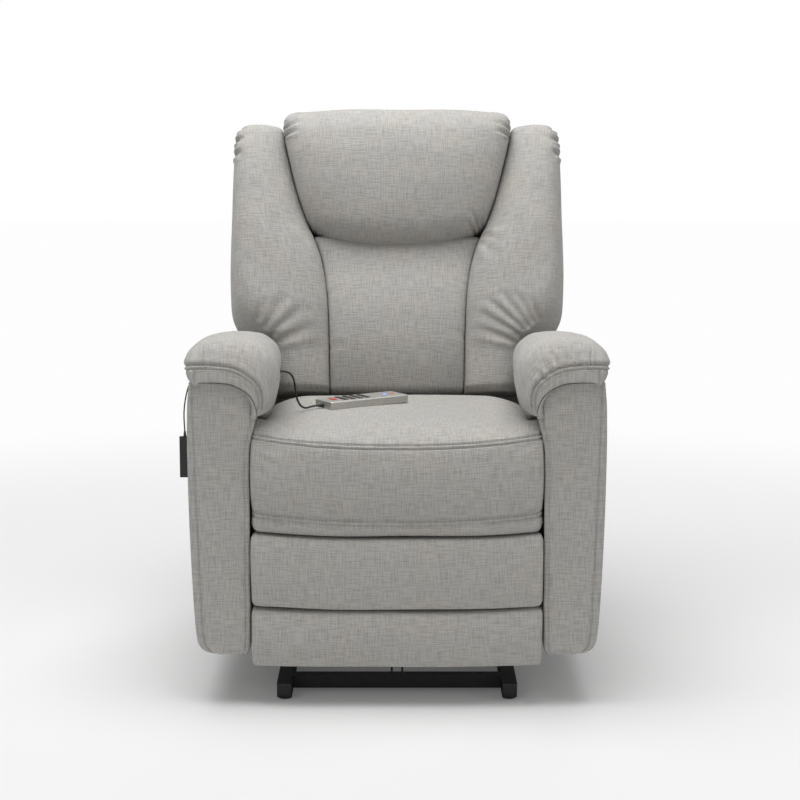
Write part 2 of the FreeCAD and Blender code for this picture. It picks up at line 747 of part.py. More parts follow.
def make_back():
    lumbar = pad([(h, -half, half, rear, edge, crown, draw, 3.0)
                  for h, half, rear, edge, crown, draw in lumbar_levels()])
    save("lumbar_cushion", lean_back(lumbar))
    pillow = pad([(h, -half, half, rear, edge, crown, draw, 3.0)
                  for h, half, rear, edge, crown, draw in pillow_levels()])
    save("head_pillow", lean_back(pillow))

    # Wing levels: height, outer side, front edge, front crown, how far the corners draw in.
    bolster = [(lumbar_low, bolster_outer - 6, -80.0, -100.0, 10.0),
               (lumbar_low + 14, bolster_outer, -100.0, -120.0, 6.0),
               (wing_low - 30, bolster_outer, -106.0, -126.0, 6.0),
               (wing_low - 4, bolster_outer, -108.0, -130.0, 6.0)]
    upper = [(wing_low, wing_outer - 16, -106.0, -132.0, 16.0),
             (wing_low + 8, wing_outer - 4, -116.0, -142.0, 12.0),
             (wing_low + 24, wing_outer + 1, -122.0, -148.0, 8.0),
             (wing_low + 180, wing_outer - 2, -122.0, -146.0, 8.0),
             (wing_high - 70, wing_outer - 7, -104.0, -126.0, 8.0),
             (wing_high - 22, wing_outer - 10, -76.0, -96.0, 10.0),
             (wing_high - 6, wing_outer - 17, -48.0, -66.0, 14.0),
             (wing_high, wing_outer - 28, -20.0, -40.0, 20.0)]
    rear = cover_front - soft_gap
    sections = []
    for levels in (bolster, upper):
        for h, outer, edge, crown, draw in finer(levels, level_step):
            trim = max(0.0, h - wing_high + 14)
            sections.append(pad_section(h, inner_at(h) + trim, outer, rear, edge, crown, draw, 3.0))
    right = Part.makeLoft(sections, True, True)
    save("wing_right", lean_back(right))
    save("wing_left", lean_back(mirrored(right)))

    cover_levels = [(-70.0, bolster_outer - 6, cover_edge_rear - 6, cover_rear - 8),
                    (-56.0, bolster_outer, cover_edge_rear, cover_rear),
                    (wing_low - 2, bolster_outer, cover_edge_rear, cover_rear),
                    (wing_low + 2, wing_outer - 8, cover_edge_rear, cover_rear),
                    (wing_high - 60, wing_outer - 12, cover_edge_rear, cover_rear),
                    (wing_high - 16, wing_outer - 18, cover_edge_rear - 6, cover_rear - 8),
                    (wing_high, wing_outer - 34, cover_edge_rear - 16, cover_rear - 20)]
    cover = Part.makeLoft([pad_section(h, -half, half, cover_front, edge, crown, 0.0, 3.0)
                           for h, half, edge, crown in cover_levels], True, True)
    lid_half = pillow_half_high - 12
    lid = box(-lid_half, lid_half, back_pad_rear + soft_gap, cover_front + 4, 650, wing_high - 6)
    lid = lid.makeFillet(8.0, [e for e in lid.Edges if e.BoundBox.ZMin > wing_high - 8])
    save("outer_back_cover", lean_back(cover.fuse(lid)))

    rail_low = lumbar_low - 8.0
    post_top = pillow_high - 75.0
    bracket_gap = arm_inner_x - fit_gap - side_plate - 8.7
    frame = []
    for side in sides:
        inner = min(side * post_in, side * post_out)
        frame.append(box(inner, inner + post_out - post_in, back_frame_front, back_frame_rear, rail_low, post_top))
    frame.append(box(-bracket_gap, bracket_gap, back_frame_front, back_frame_rear, 0, rail_low))
    frame.append(box(-post_in, post_in, back_frame_front + 10, back_frame_rear - 10,
                     post_top - frame_rail, post_top))
    frame.append(box(-post_in, post_in, back_frame_front + 10, back_frame_rear - 10,
                     frame_middle, frame_middle + frame_rail))
    save("back_frame", lean_back(group(frame)))

    straps = [box(-post_out, post_out, back_pad_rear + fit_gap, back_frame_front - fit_gap, low, low + strap_width)
              for low in (rail_low + 40, rail_low + 120, rail_low + 200, pillow_low + 12, pillow_low + 112)]
    save("back_webbing", lean_back(group(straps)))

    x0 = bracket_gap + fit_gap
    x1 = x0 + plate
    ear = plate_yz(x0, x1, [(-14, -14), (back_frame_rear, -14), (back_frame_rear, rail_low - 4),
                            (back_frame_front, rail_low - 4), (-14, 14)])
    ear = ear.fuse(cylinder_x(16.0, x0, x1, (0, 0))).cut(cylinder_x(pin_radius + pin_clearance, x0 - 1, x1 + 1, (0, 0)))
    ears = [lean_back(s) for s in both_sides(ear.removeSplitter())]

    hinge = (hinge_y, hinge_z)
    rest = tangent_rest(back_motor_pivot, hinge, back_lever, True, recline_travel / 2, back_lever_lead)
    path, swing, stroke = pin_path(back_motor_pivot, hinge, rest, -recline_travel)
    left = back_motor_x - lever_thickness / 2
    right = back_motor_x + lever_thickness / 2
    window, size = lever_window(left, right, path, hinge, rest)
    top_front = turned((hinge_y + back_frame_front, hinge_z - fit_gap), hinge, -back_lean)
    top_rear = turned((hinge_y + back_frame_rear, hinge_z - fit_gap), hinge, -back_lean)
    half = size[0] / 2 + 6
    lever = plate_yz(left, right, [top_front, top_rear, (rest[0] + half, rest[1]), (rest[0] - half, rest[1])])
    lever = lever.fuse(cylinder_x(size[1] / 2 + 8, left, right, rest)).cut(window)
    save("back_hinge_brackets", group(ears + [lever.removeSplitter()]))

    housing, rod = motor(back_motor_x, back_motor_pivot, rest, 0.74, 30.0, True)
    save("back_actuator_housing", housing)
    save("back_actuator_rod", rod)
    print("back actuator rest", rest, "swing", swing, "stroke", stroke, "window", size)


# Footrest

def forward(point, length, degrees):
    # A place at a length from a point, with the angle counted from straight forward towards up.
    a = math.radians(degrees)
    return (point[0] - length * math.cos(a), point[1] + length * math.sin(a))


def make_footrest():
    knee = forward(footrest_pivot, rear_link_length, rear_link_rest)
    toe = forward(knee, front_link_length, front_link_rest)
    side_x = arm_inner_x - fit_gap - side_plate
    x1 = side_x - 1
    bore = link_pin_radius + pin_clearance
    rear = link(x1 - plate, x1, footrest_pivot, knee, 9.0, link_eye_radius, bore, link_pin_radius)
    knee_pin = cylinder_x(link_pin_radius, x1 - 2 * plate - 1, x1, knee)
    save("footrest_rear_links", group(both_sides(rear) + both_sides(knee_pin)))

    x2 = x1 - plate - 1
    front = link(x2 - plate, x2, knee, toe, 8.0, link_eye_radius, bore, bore)
    save("footrest_front_links", group(both_sides(front)))

    x3 = x2 - plate - 1
    front_face = footrest_rear_y + fit_gap
    board_rear = front_face + board_thickness
    bracket = plate_yz(x3 - plate, x3, [(board_rear + fit_gap, toe[1] - 50), (board_rear + fit_gap, toe[1] + 50),
                                        (toe[0] + 6, toe[1] + 10), (toe[0] + 6, toe[1] - 10)])
    bracket = bracket.fuse(cylinder_x(link_eye_radius, x3 - plate, x3, toe))
    foot = box(board_half_width - 30, x3, board_rear + fit_gap, board_rear + fit_gap + 4, toe[1] - 50, toe[1] + 50)
    toe_pin = cylinder_x(link_pin_radius, x3 - plate - 2, x2, toe)
    bracket = bracket.fuse([foot, toe_pin]).removeSplitter()
    save("footrest_brackets", group(both_sides(bracket)))

    board = box(-board_half_width, board_half_width, front_face, board_rear,
                footrest_low_z + 15, footrest_pivot[1] - 20)
    save("footrest_board", board)

    def foot_pad(low, high):
        half = footrest_half_width
        edge = footrest_edge_y
        return pad([
            (low, -half + 6, half - 6, footrest_rear_y, edge + 14, footrest_front_y + 14, 8.0),
            (low + 10, -half, half, footrest_rear_y, edge, footrest_front_y + 3, 4.0),
            ((low + high) / 2, -half, half, footrest_rear_y, edge - 2, footrest_front_y, 4.0),
            (high - 10, -half, half, footrest_rear_y, edge, footrest_front_y + 3, 4.0),
            (high, -half + 6, half - 6, footrest_rear_y, edge + 14, footrest_front_y + 14, 8.0)])
    save("footrest_upper_pad", foot_pad(footrest_split_z + fit_gap, seat_bottom_z - 2))
    save("footrest_lower_pad", foot_pad(footrest_low_z, footrest_split_z - fit_gap))

    reach = x1 - plate - fit_gap
    shaft = cylinder_x(drive_shaft_radius, -reach, reach, footrest_pivot)
    rest = forward(footrest_pivot, leg_lever, -90.0 - rear_link_travel / 2 + leg_lever_lead)
    path, swing, stroke = pin_path(leg_motor_pivot, footrest_pivot, rest, -rear_link_travel)
    left = leg_motor_x - lever_thickness / 2
    right = leg_motor_x + lever_thickness / 2
    window, size = lever_window(left, right, path, footrest_pivot, rest)
    turn = bearing(footrest_pivot, rest)
    blade = box(left, right, footrest_pivot[0] + drive_shaft_radius - 2, footrest_pivot[0] + leg_lever + pin_radius + 7,
                footrest_pivot[1] - size[1] / 2 - 6, footrest_pivot[1] + size[1] / 2 + 6)
    blade.rotate(Vector(0, footrest_pivot[0], footrest_pivot[1]), Vector(1, 0, 0), turn)
    drive = shaft.fuse([blade.cut(window)]).removeSplitter()
    save("footrest_drive_shaft", drive)

    housing, rod = motor(leg_motor_x, leg_motor_pivot, rest, 0.78, 46.0, False)
    save("footrest_actuator_housing", housing)
    save("footrest_actuator_rod", rod)
    print("leg actuator rest", rest, "swing", swing, "stroke", stroke, "window", size)
    print("knee", knee, "toe", toe)


# Handset, drawn along +x from its near end and then laid on the seat

def lay_handset(shape):
    shape = shape.copy()
    shape.translate(Vector(-handset_length / 2, -handset_width / 2, 0))
    shape.rotate(Vector(0, 0, 0), Vector(0, 0, 1), handset_turn)
    shape.translate(Vector(handset_centre[0], handset_centre[1], seat_crown_z + fit_gap))
    return shape


def make_handset():
    split = handset_height * 0.45
    body = Part.makeBox(handset_length, handset_width, handset_height)
    body = body.makeFillet(3.0, body.Edges)
    cavity = box(handset_wall, handset_length - handset_wall, handset_wall, handset_width - handset_wall,
                 handset_wall, handset_height - handset_wall)
    shell = body.cut(cavity)
    lower = shell.common(box(-1, handset_length + 1, -1, handset_width + 1, -1, split))
    upper = shell.common(box(-1, handset_length + 1, -1, handset_width + 1, split, handset_height + 1))
    places = []
    for row in range(button_rows):
        for column in range(2):
            x = first_button + row * button_pitch[0]
            y = handset_width / 2 + (column - 0.5) * button_pitch[1]
            places.append((x, y, "handset_button_%d" % (2 * row + column + 1)))
    places.append((red_button_at, handset_width / 2, "handset_stop_button"))
    for x, y, name in places:
        long_side = button_size[0]
        wide = button_size[1]
        hole = box(x - long_side / 2, x + long_side / 2, y - wide / 2, y + wide / 2, 5, handset_height + 1)
        upper = upper.cut(hole)
        flange_top = handset_height - handset_wall - fit_gap
        cap = box(x - long_side / 2 + fit_gap, x + long_side / 2 - fit_gap, y - wide / 2 + fit_gap,
                  y + wide / 2 - fit_gap, flange_top - 1.5, handset_height + button_proud)
        rim = [e for e in cap.Edges if e.BoundBox.ZMin > handset_height + button_proud - 0.1]
        cap = cap.makeFillet(0.8, rim)
        flange = box(x - long_side / 2 - 0.8, x + long_side / 2 + 0.8, y - wide / 2 - 0.8, y + wide / 2 + 0.8,
                     flange_top - 1.5, flange_top)
        save(name, lay_handset(cap.fuse(flange)))
        place = lay_handset(Part.Vertex(x, y, handset_height)).Point
        print(name, "at", round(place.x, 2), round(place.y, 2), round(place.z, 2))
    lenses = []
    for place, radius in ((lens_at, lens_radius), (lamp_at, lamp_radius)):
        upper = upper.cut(Part.makeCylinder(radius + fit_gap, 10, Vector(place, handset_width / 2,
                                                                         handset_height - 5)))
        lens = Part.makeCylinder(radius, 3.6, Vector(place, handset_width / 2, handset_height - 3.4))
        seat_level = handset_height - handset_wall - fit_gap - 1.2
        lenses.append(lens.fuse(Part.makeCylinder(radius + 2, 1.2, Vector(place, handset_width / 2, seat_level))))
    save("handset_indicator_lenses", lay_handset(group(lenses)))
    exit_place = (0.0, handset_width / 2, handset_height * 0.45)
    port = Part.makeCylinder(3.2, 6.0, Vector(-1, exit_place[1], exit_place[2]), Vector(1, 0, 0))
    save("handset_top_shell", lay_handset(upper.cut(port)))
    save("handset_back_shell", lay_handset(lower.cut(port)))
    relief = Part.makeCone(2.6, 4.2, 12.0, Vector(-12.3, exit_place[1], exit_place[2]), Vector(1, 0, 0))
    relief = relief.fuse(Part.makeCylinder(2.9, 4.0, Vector(-0.4, exit_place[1], exit_place[2]), Vector(1, 0, 0)))
    save("handset_strain_relief", lay_handset(relief))
    start = lay_handset(Part.Vertex(-12.3, exit_place[1], exit_place[2])).Point
    print("handset cord end", start.x, start.y, start.z)


# Cords and the hanging tag

handset_cord_points = [(-221.7, -270.0, 612.0), (-210.5, -270.0, 612.0), (-201.5, -268.0, 606.0),
                       (-196.5, -264.0, 595.0), (-194.5, -258.0, 577.0), (-192.5, -249.0, 557.0),
                       (-187.0, -239.0, 541.0), (-177.5, -227.0, 533.2), (-164.6, -214.5, 535.95),
                       (-153.81, -207.21, 535.95)]
tag_cord_points = [(-380.0, -330.0, 601.0), (-388.0, -330.0, 598.0), (-393.0, -329.6, 587.0),
                   (-397.0, -329.0, 570.0), (-400.0, -329.6, 551.0), (-400.8, -330.6, 530.0),
                   (-399.4, -330.0, 507.0)]


def make_cords():
    save("handset_cord", cord_tube(handset_cord_points, cord_diameter, "handset cord"))
    save("tag_cord", cord_tube(tag_cord_points, tag_cord_diameter, "tag cord"))
    top = Vector(*tag_top)
    ferrule = Part.makeCone(ferrule_radius, ferrule_radius - 1.2, ferrule_length, top, Vector(0, 0, 1))
    save("tag_ferrule", ferrule)
    tag = Part.makeBox(tag_size[0], tag_size[1], tag_size[2],
                       Vector(top.x - tag_size[0] / 2, top.y - tag_size[1] / 2, top.z - tag_size[2]))
    tag = tag.makeFillet(1.0, tag.Edges)
    save("hang_tag", tag)


make_base()
make_lift()
make_chassis()
make_seat()
make_arms()
make_back()
make_footrest()
make_handset()
make_cords()
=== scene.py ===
import math

import bmesh
import bpy
import numpy as np
from bpy.props import FloatProperty, FloatVectorProperty, PointerProperty
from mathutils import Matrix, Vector


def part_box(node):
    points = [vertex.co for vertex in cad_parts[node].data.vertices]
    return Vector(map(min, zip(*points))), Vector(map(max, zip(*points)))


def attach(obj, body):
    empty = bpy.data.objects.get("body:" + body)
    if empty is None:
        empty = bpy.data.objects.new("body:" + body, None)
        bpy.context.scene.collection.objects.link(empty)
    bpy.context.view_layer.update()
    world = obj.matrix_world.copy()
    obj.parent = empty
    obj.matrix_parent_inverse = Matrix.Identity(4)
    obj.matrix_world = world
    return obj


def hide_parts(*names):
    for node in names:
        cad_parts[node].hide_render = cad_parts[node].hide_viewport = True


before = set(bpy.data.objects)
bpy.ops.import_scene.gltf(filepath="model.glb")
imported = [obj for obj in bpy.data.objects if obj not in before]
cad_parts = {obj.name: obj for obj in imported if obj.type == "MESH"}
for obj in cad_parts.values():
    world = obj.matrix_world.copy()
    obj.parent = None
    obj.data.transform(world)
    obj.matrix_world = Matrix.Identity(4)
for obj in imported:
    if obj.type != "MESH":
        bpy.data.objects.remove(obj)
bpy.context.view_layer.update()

bl_info = {
    "name": "Lift recliner chair",
    "version": (1, 0, 0),
    "blender": (4, 5, 0),
    "location": "View3D > Sidebar > Chair",
    "description": "Dresses the steel and timber frame of a lift recliner in fabric",
    "category": "Object",
}

MM = 0.001
HINGE = np.array([0.0, 150.0, 400.0])
BACK_LEAN = math.radians(16.5)


# Curves and grids

def smooth(places, values, at):
    """Cubic through the given values that never swings past them: each inner slope is the
    harmonic mean of the two straight slopes beside it, or level where they differ in sign."""
    x = np.asarray(places, float)
    y = np.asarray(values, float)
    at = np.clip(np.asarray(at, float), x[0], x[-1])
    gap = np.diff(x)
    rise = np.diff(y) / gap
    slope = np.zeros_like(y)
    slope[0], slope[-1] = rise[0], rise[-1]
    product = rise[:-1] * rise[1:]
    total = rise[:-1] + rise[1:]
    slope[1:-1] = np.where(product > 0, 2 * product / np.where(total == 0, 1, total), 0)
    i = np.clip(np.searchsorted(x, at, side="right") - 1, 0, len(gap) - 1)
    t = (at - x[i]) / gap[i]
    return ((1 + 2 * t) * (1 - t) ** 2 * y[i] + t * (1 - t) ** 2 * gap[i] * slope[i]
            + t * t * (3 - 2 * t) * y[i + 1] + t * t * (t - 1) * gap[i] * slope[i + 1])


def evenly(path, count):
    """The same line with count points, each the same distance along it from the last."""
    step = np.linalg.norm(np.diff(path, axis=0), axis=1)
    along = np.concatenate([[0], np.cumsum(step)])
    want = np.linspace(0, along[-1], count)
    return np.stack([np.interp(want, along, path[:, k]) for k in range(path.shape[1])], axis=1)


def flowing(points, count, closed=False):
    """A smooth line through the points: a cubic on each span, whose slope at a point is the chord
    between that point's two neighbours."""
    p = np.asarray(points, float)
    if closed:
        p = np.vstack([p[-1:], p, p[:2]])
    else:
        p = np.vstack([2 * p[:1] - p[1:2], p, 2 * p[-1:] - p[-2:-1]])
    reach = np.sqrt(np.linalg.norm(np.diff(p, axis=0), axis=1))
    knot = np.concatenate([[0], np.cumsum(reach)])
    slope = (p[2:] - p[:-2]) / (knot[2:] - knot[:-2])[:, None]
    start, end = p[1:-2], p[2:-1]
    gap = (knot[2:-1] - knot[1:-2])[:, None, None]
    t = np.linspace(0, 1, 60, endpoint=False)[None, :, None]
    line = ((1 + 2 * t) * (1 - t) ** 2 * start[:, None] + t * (1 - t) ** 2 * gap * slope[:-1, None]
            + t * t * (3 - 2 * t) * end[:, None] + t * t * (t - 1) * gap * slope[1:, None])
    line = np.vstack([line.reshape(-1, p.shape[1]), p[-2:-1]])
    return evenly(line, count)


def soft_ring(powers, aspect, count):
    """A closed ring in a square of side 2: each quarter is |x|^p + |y|^p = 1 with its own p, from
    quarter to quarter. Its points lie evenly once the ring is stretched by the aspect."""
    turn = np.linspace(0, 2 * math.pi, 6001)
    c, s = np.cos(turn), np.sin(turn)
    power = np.asarray(powers, float)[np.minimum((turn / (math.pi / 2)).astype(int), 3)]
    ring = np.stack([np.sign(c) * np.abs(c) ** (2 / power) * aspect,
                     np.sign(s) * np.abs(s) ** (2 / power)], axis=1)
    ring = evenly(ring, count)
    ring[:, 0] /= aspect
    ring[-1] = ring[0]
    return ring[:, 0], ring[:, 1]


def normals(grid, around):
    """Unit normals of a grid from the cross product of its two directions, turned to point out."""
    across = np.gradient(grid, axis=1)
    if around:
        across[:, 0] = across[:, -1] = (grid[:, 1] - grid[:, -2]) / 2
    along = np.gradient(grid, axis=0)
    n = np.cross(across, along)
    n /= np.maximum(np.linalg.norm(n, axis=2, keepdims=True), 1e-9)
    out = grid - grid.mean(axis=1, keepdims=True)
    return n if (n * out).sum() > 0 else -n


def cloth_uv(grid, column):
    """Places on the cloth in metres: across is the length along each row from one column, and up
    is the length along that column."""
    across = np.linalg.norm(np.diff(grid, axis=1), axis=2)
    u = np.concatenate([np.zeros((len(grid), 1)), np.cumsum(across, axis=1)], axis=1)
    u -= u[:, column:column + 1]
    up = np.linalg.norm(np.diff(grid[:, column], axis=0), axis=1)
    v = np.concatenate([[0], np.cumsum(up)])[:, None] + np.zeros_like(u)
    return np.stack([u, v], axis=2) * MM


def lid(ring, rings=5):
    """Closes a ring: each row is the ring drawn in towards its middle by an even share. The cloth on
    it lies flat, measured along the two axes that the ring's plane faces least."""
    share = np.linspace(0, 1, rings + 1)[:, None, None]
    middle = ring[:-1].mean(axis=0)
    grid = ring[None] + (middle - ring)[None] * share
    facing = np.abs(np.linalg.svd(ring[:-1] - middle, full_matrices=False)[2][2]).argmax()
    flat = [axis for axis in range(3) if axis != facing]
    return grid, grid[..., flat] * MM


def spread(x, y, z):
    """A grid of places from three coordinates, each spread over the rows and columns of the others."""
    return np.stack(np.broadcast_arrays(x, y, z), axis=2)


def closed(grid, uv):
    """A tube of rings with a lid at both ends."""
    return [(grid, uv), lid(grid[0]), lid(grid[-1])]


def mesh_piece(name, patches, material, body, around=0.004):
    """One mesh from grids of millimetre points. Points that lie together are merged, so rings close
    and patches join, and the faces are turned outwards."""
    points, quads, places = [], [], []
    base = 0
    for grid, uv in patches:
        rows, columns = grid.shape[:2]
        index = np.arange(rows * columns).reshape(rows, columns) + base
        quad = np.stack([index[:-1, :-1], index[:-1, 1:], index[1:, 1:], index[1:, :-1]], axis=2)
        points.append(grid.reshape(-1, 3))
        places.append(uv.reshape(-1, 2))
        quads.append(quad.reshape(-1, 4))
        base += rows * columns
    points = np.concatenate(points) * MM
    quads = np.concatenate(quads)
    places = np.concatenate(places)
    mesh = bpy.data.meshes.new(name)
    mesh.from_pydata(points.tolist(), [], quads.tolist())
    layer = mesh.uv_layers.new(name="cloth")
    layer.data.foreach_set("uv", places[quads.ravel()].astype(np.float32).ravel())
    work = bmesh.new()
    work.from_mesh(mesh)
    bmesh.ops.remove_doubles(work, verts=work.verts, dist=around * MM)
    bmesh.ops.recalc_face_normals(work, faces=work.faces)
    work.to_mesh(mesh)
    work.free()
    mesh.shade_smooth()
    mesh.materials.append(material)
    obj = bpy.data.objects.new(name, mesh)
    bpy.context.scene.collection.objects.link(obj)
    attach(obj, body)
    return obj


def upholstered(name, patches, body, node=None, around=0.004):
    """A padded piece in the chair's cloth. It takes the place of a CAD node where one is named."""
    obj = mesh_piece(name, patches, finish("cloth"), body, around)
    if node:
        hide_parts(node)


def lean(grid):
    """From the backrest's upright frame to the chair: turned back about the hinge and moved to it."""
    c, s = math.cos(BACK_LEAN), math.sin(BACK_LEAN)
    x, y, z = grid[..., 0], grid[..., 1], grid[..., 2]
    return np.stack([x, y * c + z * s + HINGE[1], z * c - y * s + HINGE[2]], axis=-1)


def flipped(grid):
    """The same places on the other side of the chair."""
    return grid * np.array([-1.0, 1.0, 1.0])


def creases(a, b, lines):
    """How far soft folds press in and puff out at places (a, b). Across a fold it falls as
    minus exp(-q^2) with a lower ridge at each side, and along it from the first end to the other."""
    shift = np.zeros_like(a)
    for a0, b0, a1, b1, depth, breadth in lines:
        da, db = a1 - a0, b1 - b0
        t = ((a - a0) * da + (b - b0) * db) / (da * da + db * db)
        s = np.clip(t, 0, 1)
        q = np.hypot(a - a0 - s * da, b - b0 - s * db) / (breadth * (0.7 + 0.6 * s))
        before = np.clip(1 - np.maximum(-t, 0) * 4, 0, 1)
        opening = 0.6 + 0.4 * np.clip(s / 0.25, 0, 1)
        fade = (1 - s) ** 0.6 * before * opening
        shift += depth * fade * (0.55 * np.exp(-((q - 1.9) / 0.8) ** 2) - np.exp(-q ** 2))
    return shift


def groove(distance, depth, breadth):
    """A sewn seam: it presses in as minus exp(-q^2) of the distance over the breadth."""
    return -depth * np.exp(-(distance / breadth) ** 2)


def stitch_rows(name, rows, material, body, pitch=6.5, length=4.4, thick=0.55):
    """Thread along lines of (place, outward normal): each stitch is a short barrel of four sides
    and five rings whose radius is the thickness times sqrt(1 - s^2)."""
    patches = []
    for line, out in rows:
        step = np.linalg.norm(np.diff(line, axis=0), axis=1)
        along = np.concatenate([[0], np.cumsum(step)])
        middle = np.arange(pitch / 2, along[-1], pitch)
        place = np.stack([np.interp(middle, along, line[:, k]) for k in range(3)], axis=1)
        ahead = np.stack([np.interp(middle + 0.5, along, line[:, k]) for k in range(3)], axis=1)
        up = np.stack([np.interp(middle, along, out[:, k]) for k in range(3)], axis=1)
        run = ahead - place
        run /= np.maximum(np.linalg.norm(run, axis=1, keepdims=True), 1e-9)
        side = np.cross(run, up)
        for centre, forward, over, beside in zip(place, run, up, side):
            s = np.linspace(-1, 1, 5)[:, None, None]
            turn = np.linspace(0, 2 * math.pi, 5)[None, :, None]
            reach = thick * np.sqrt(np.clip(1.0001 - s * s, 0, 1))
            grid = (centre + over * 0.1 + forward * s * length / 2
                    + reach * (over * np.cos(turn) + beside * np.sin(turn)))
            patches.append((grid, np.zeros(grid.shape[:2] + (2,))))
    return mesh_piece(name, patches, material, body, 0.0005)


def along_grid(grid, out, rows, columns):
    """Places and normals on a grid at fractional rows and columns, in straight shares."""
    i = np.clip(rows.astype(int), 0, grid.shape[0] - 2)
    j = np.clip(columns.astype(int), 0, grid.shape[1] - 2)
    a = (rows - i)[:, None]
    b = (columns - j)[:, None]

    def mix(g):
        return ((1 - a) * (1 - b) * g[i, j] + a * (1 - b) * g[i + 1, j]
                + (1 - a) * b * g[i, j + 1] + a * b * g[i + 1, j + 1])
    return mix(grid), mix(out)


def crossings(field, lines, at_first):
    """Where each line of a field first reaches zero, as (line, fractional step), and which do."""
    picked, steps = [], []
    for k in lines:
        row = field[k]
        change = np.nonzero((row[:-1] < 0) & (row[1:] >= 0))[0]
        if len(change):
            i = change[0] if at_first else change[-1]
            picked.append(float(k))
            steps.append(i + row[i] / (row[i] - row[i + 1]))
    return np.array(picked), np.array(steps)


# Materials

def wire(tree, node, inputs):
    """Links each input that is given a socket, and sets each that is given a value."""
    for key, value in inputs.items():
        if isinstance(value, bpy.types.NodeSocket):
            tree.links.new(value, node.inputs[key])
        else:
            node.inputs[key].default_value = value


def shader_tree(name):
    """A material with only its output and the shader that feeds it."""
    material = bpy.data.materials.new(name)
    material.use_nodes = True
    tree = material.node_tree
    tree.nodes.clear()
    output = tree.nodes.new("ShaderNodeOutputMaterial")
    shader = tree.nodes.new("ShaderNodeBsdfPrincipled")
    tree.links.new(shader.outputs[0], output.inputs[0])
    return material, tree, shader


def add(tree, kind, inputs=None, **options):
    """A new node with its options set and its inputs wired."""
    node = tree.nodes.new("ShaderNode" + kind)
    for key, value in options.items():
        setattr(node, key, value)
    wire(tree, node, inputs or {})
    return node


def calculate(tree, operation, *values):
    """The result of one operation on one or two values."""
    return add(tree, "Math", dict(enumerate(values)), operation=operation).outputs[0]


def remap(tree, value, low, high, to_low=0.0, to_high=1.0):
    """A value moved from one range into another, in straight shares and held at both ends."""
    ends = {"Value": value, "From Min": low, "From Max": high, "To Min": to_low, "To Max": to_high}
    return add(tree, "MapRange", ends).outputs[0]


def bump(tree, height, strength, distance):
    """The normal that a height gives."""
    return add(tree, "Bump", {"Height": height, "Strength": strength, "Distance": distance}).outputs[0]


def blend_colours(tree, share, first, second, mode="MIX"):
    """Two colours mixed by a share. A colour mix keeps its share and colours on sockets 0, 6 and 7."""
    node = add(tree, "Mix", data_type="RGBA", blend_type=mode)
    wire(tree, node, {0: share, 6: first, 7: second})
    return node.outputs[2]


def colour4(values):
    """A colour with its opacity."""
    return (values[0], values[1], values[2], 1.0)


def woven_cloth(sizes):
    """Plain weave with slubs: two noises stretched along the warp and the weft carry the thick and
    thin threads, and sin(2 pi u / pitch) sin(2 pi v / pitch) is the weave itself."""
    material, tree, shader = shader_tree("upholstery_cloth")
    place = add(tree, "UVMap", uv_map="cloth").outputs[0]

    def threads(scale, offset):
        vector = add(tree, "Mapping", {"Vector": place, "Scale": scale, "Location": offset}).outputs[0]
        return add(tree, "TexNoise", {"Vector": vector, "Scale": 1.0, "Detail": 1.0, "Roughness": 0.55},
                   noise_dimensions="2D").outputs[0]

    warp = remap(tree, threads((470, 30, 1), (3, 7, 0)), 0.34, 0.60)
    weft = remap(tree, threads((30, 470, 1), (11, 2, 0)), 0.34, 0.60)
    warp_fine = threads((900, 60, 1), (5, 1, 0))
    weft_fine = threads((60, 900, 1), (9, 4, 0))
    patchy = threads((14, 14, 1), (1, 8, 0))
    split = add(tree, "SeparateXYZ", {0: place})

    def wave(axis):
        turn = calculate(tree, "MULTIPLY", split.outputs[axis], 2 * math.pi / sizes.weave_pitch)
        return calculate(tree, "SINE", turn)

    weave = calculate(tree, "MULTIPLY", wave(0), wave(1))
    coarse = calculate(tree, "ADD", warp, weft)
    fine = calculate(tree, "ADD", warp_fine, weft_fine)
    both = calculate(tree, "ADD", coarse, fine)
    tone = remap(tree, both, 1.2, 2.9)
    mean = Vector(sizes.cloth_colour)
    dark = mean * (1.0 - sizes.slub_contrast)
    pale = mean * (1.0 + sizes.slub_contrast * 0.55)
    colour = blend_colours(tree, tone, colour4(dark), colour4(pale))
    tint = remap(tree, patchy, 0.4, 0.62)
    warm = blend_colours(tree, tint, (1.0, 0.985, 0.968, 1.0), (0.975, 0.985, 0.99, 1.0))
    colour = blend_colours(tree, 1.0, colour, warm, "MULTIPLY")
    dots = remap(tree, weave, -1.0, 1.0, 0.86, 1.06)
    height = calculate(tree, "ADD", calculate(tree, "MULTIPLY", weave, 0.35), both)
    wire(tree, shader, {"Base Color": blend_colours(tree, 1.0, colour, dots, "MULTIPLY"),
                        "Normal": bump(tree, height, 0.5, 0.0006), "Roughness": 0.92,
                        "Specular IOR Level": 0.25, "Sheen Weight": 0.18, "Sheen Roughness": 0.45})
    return material


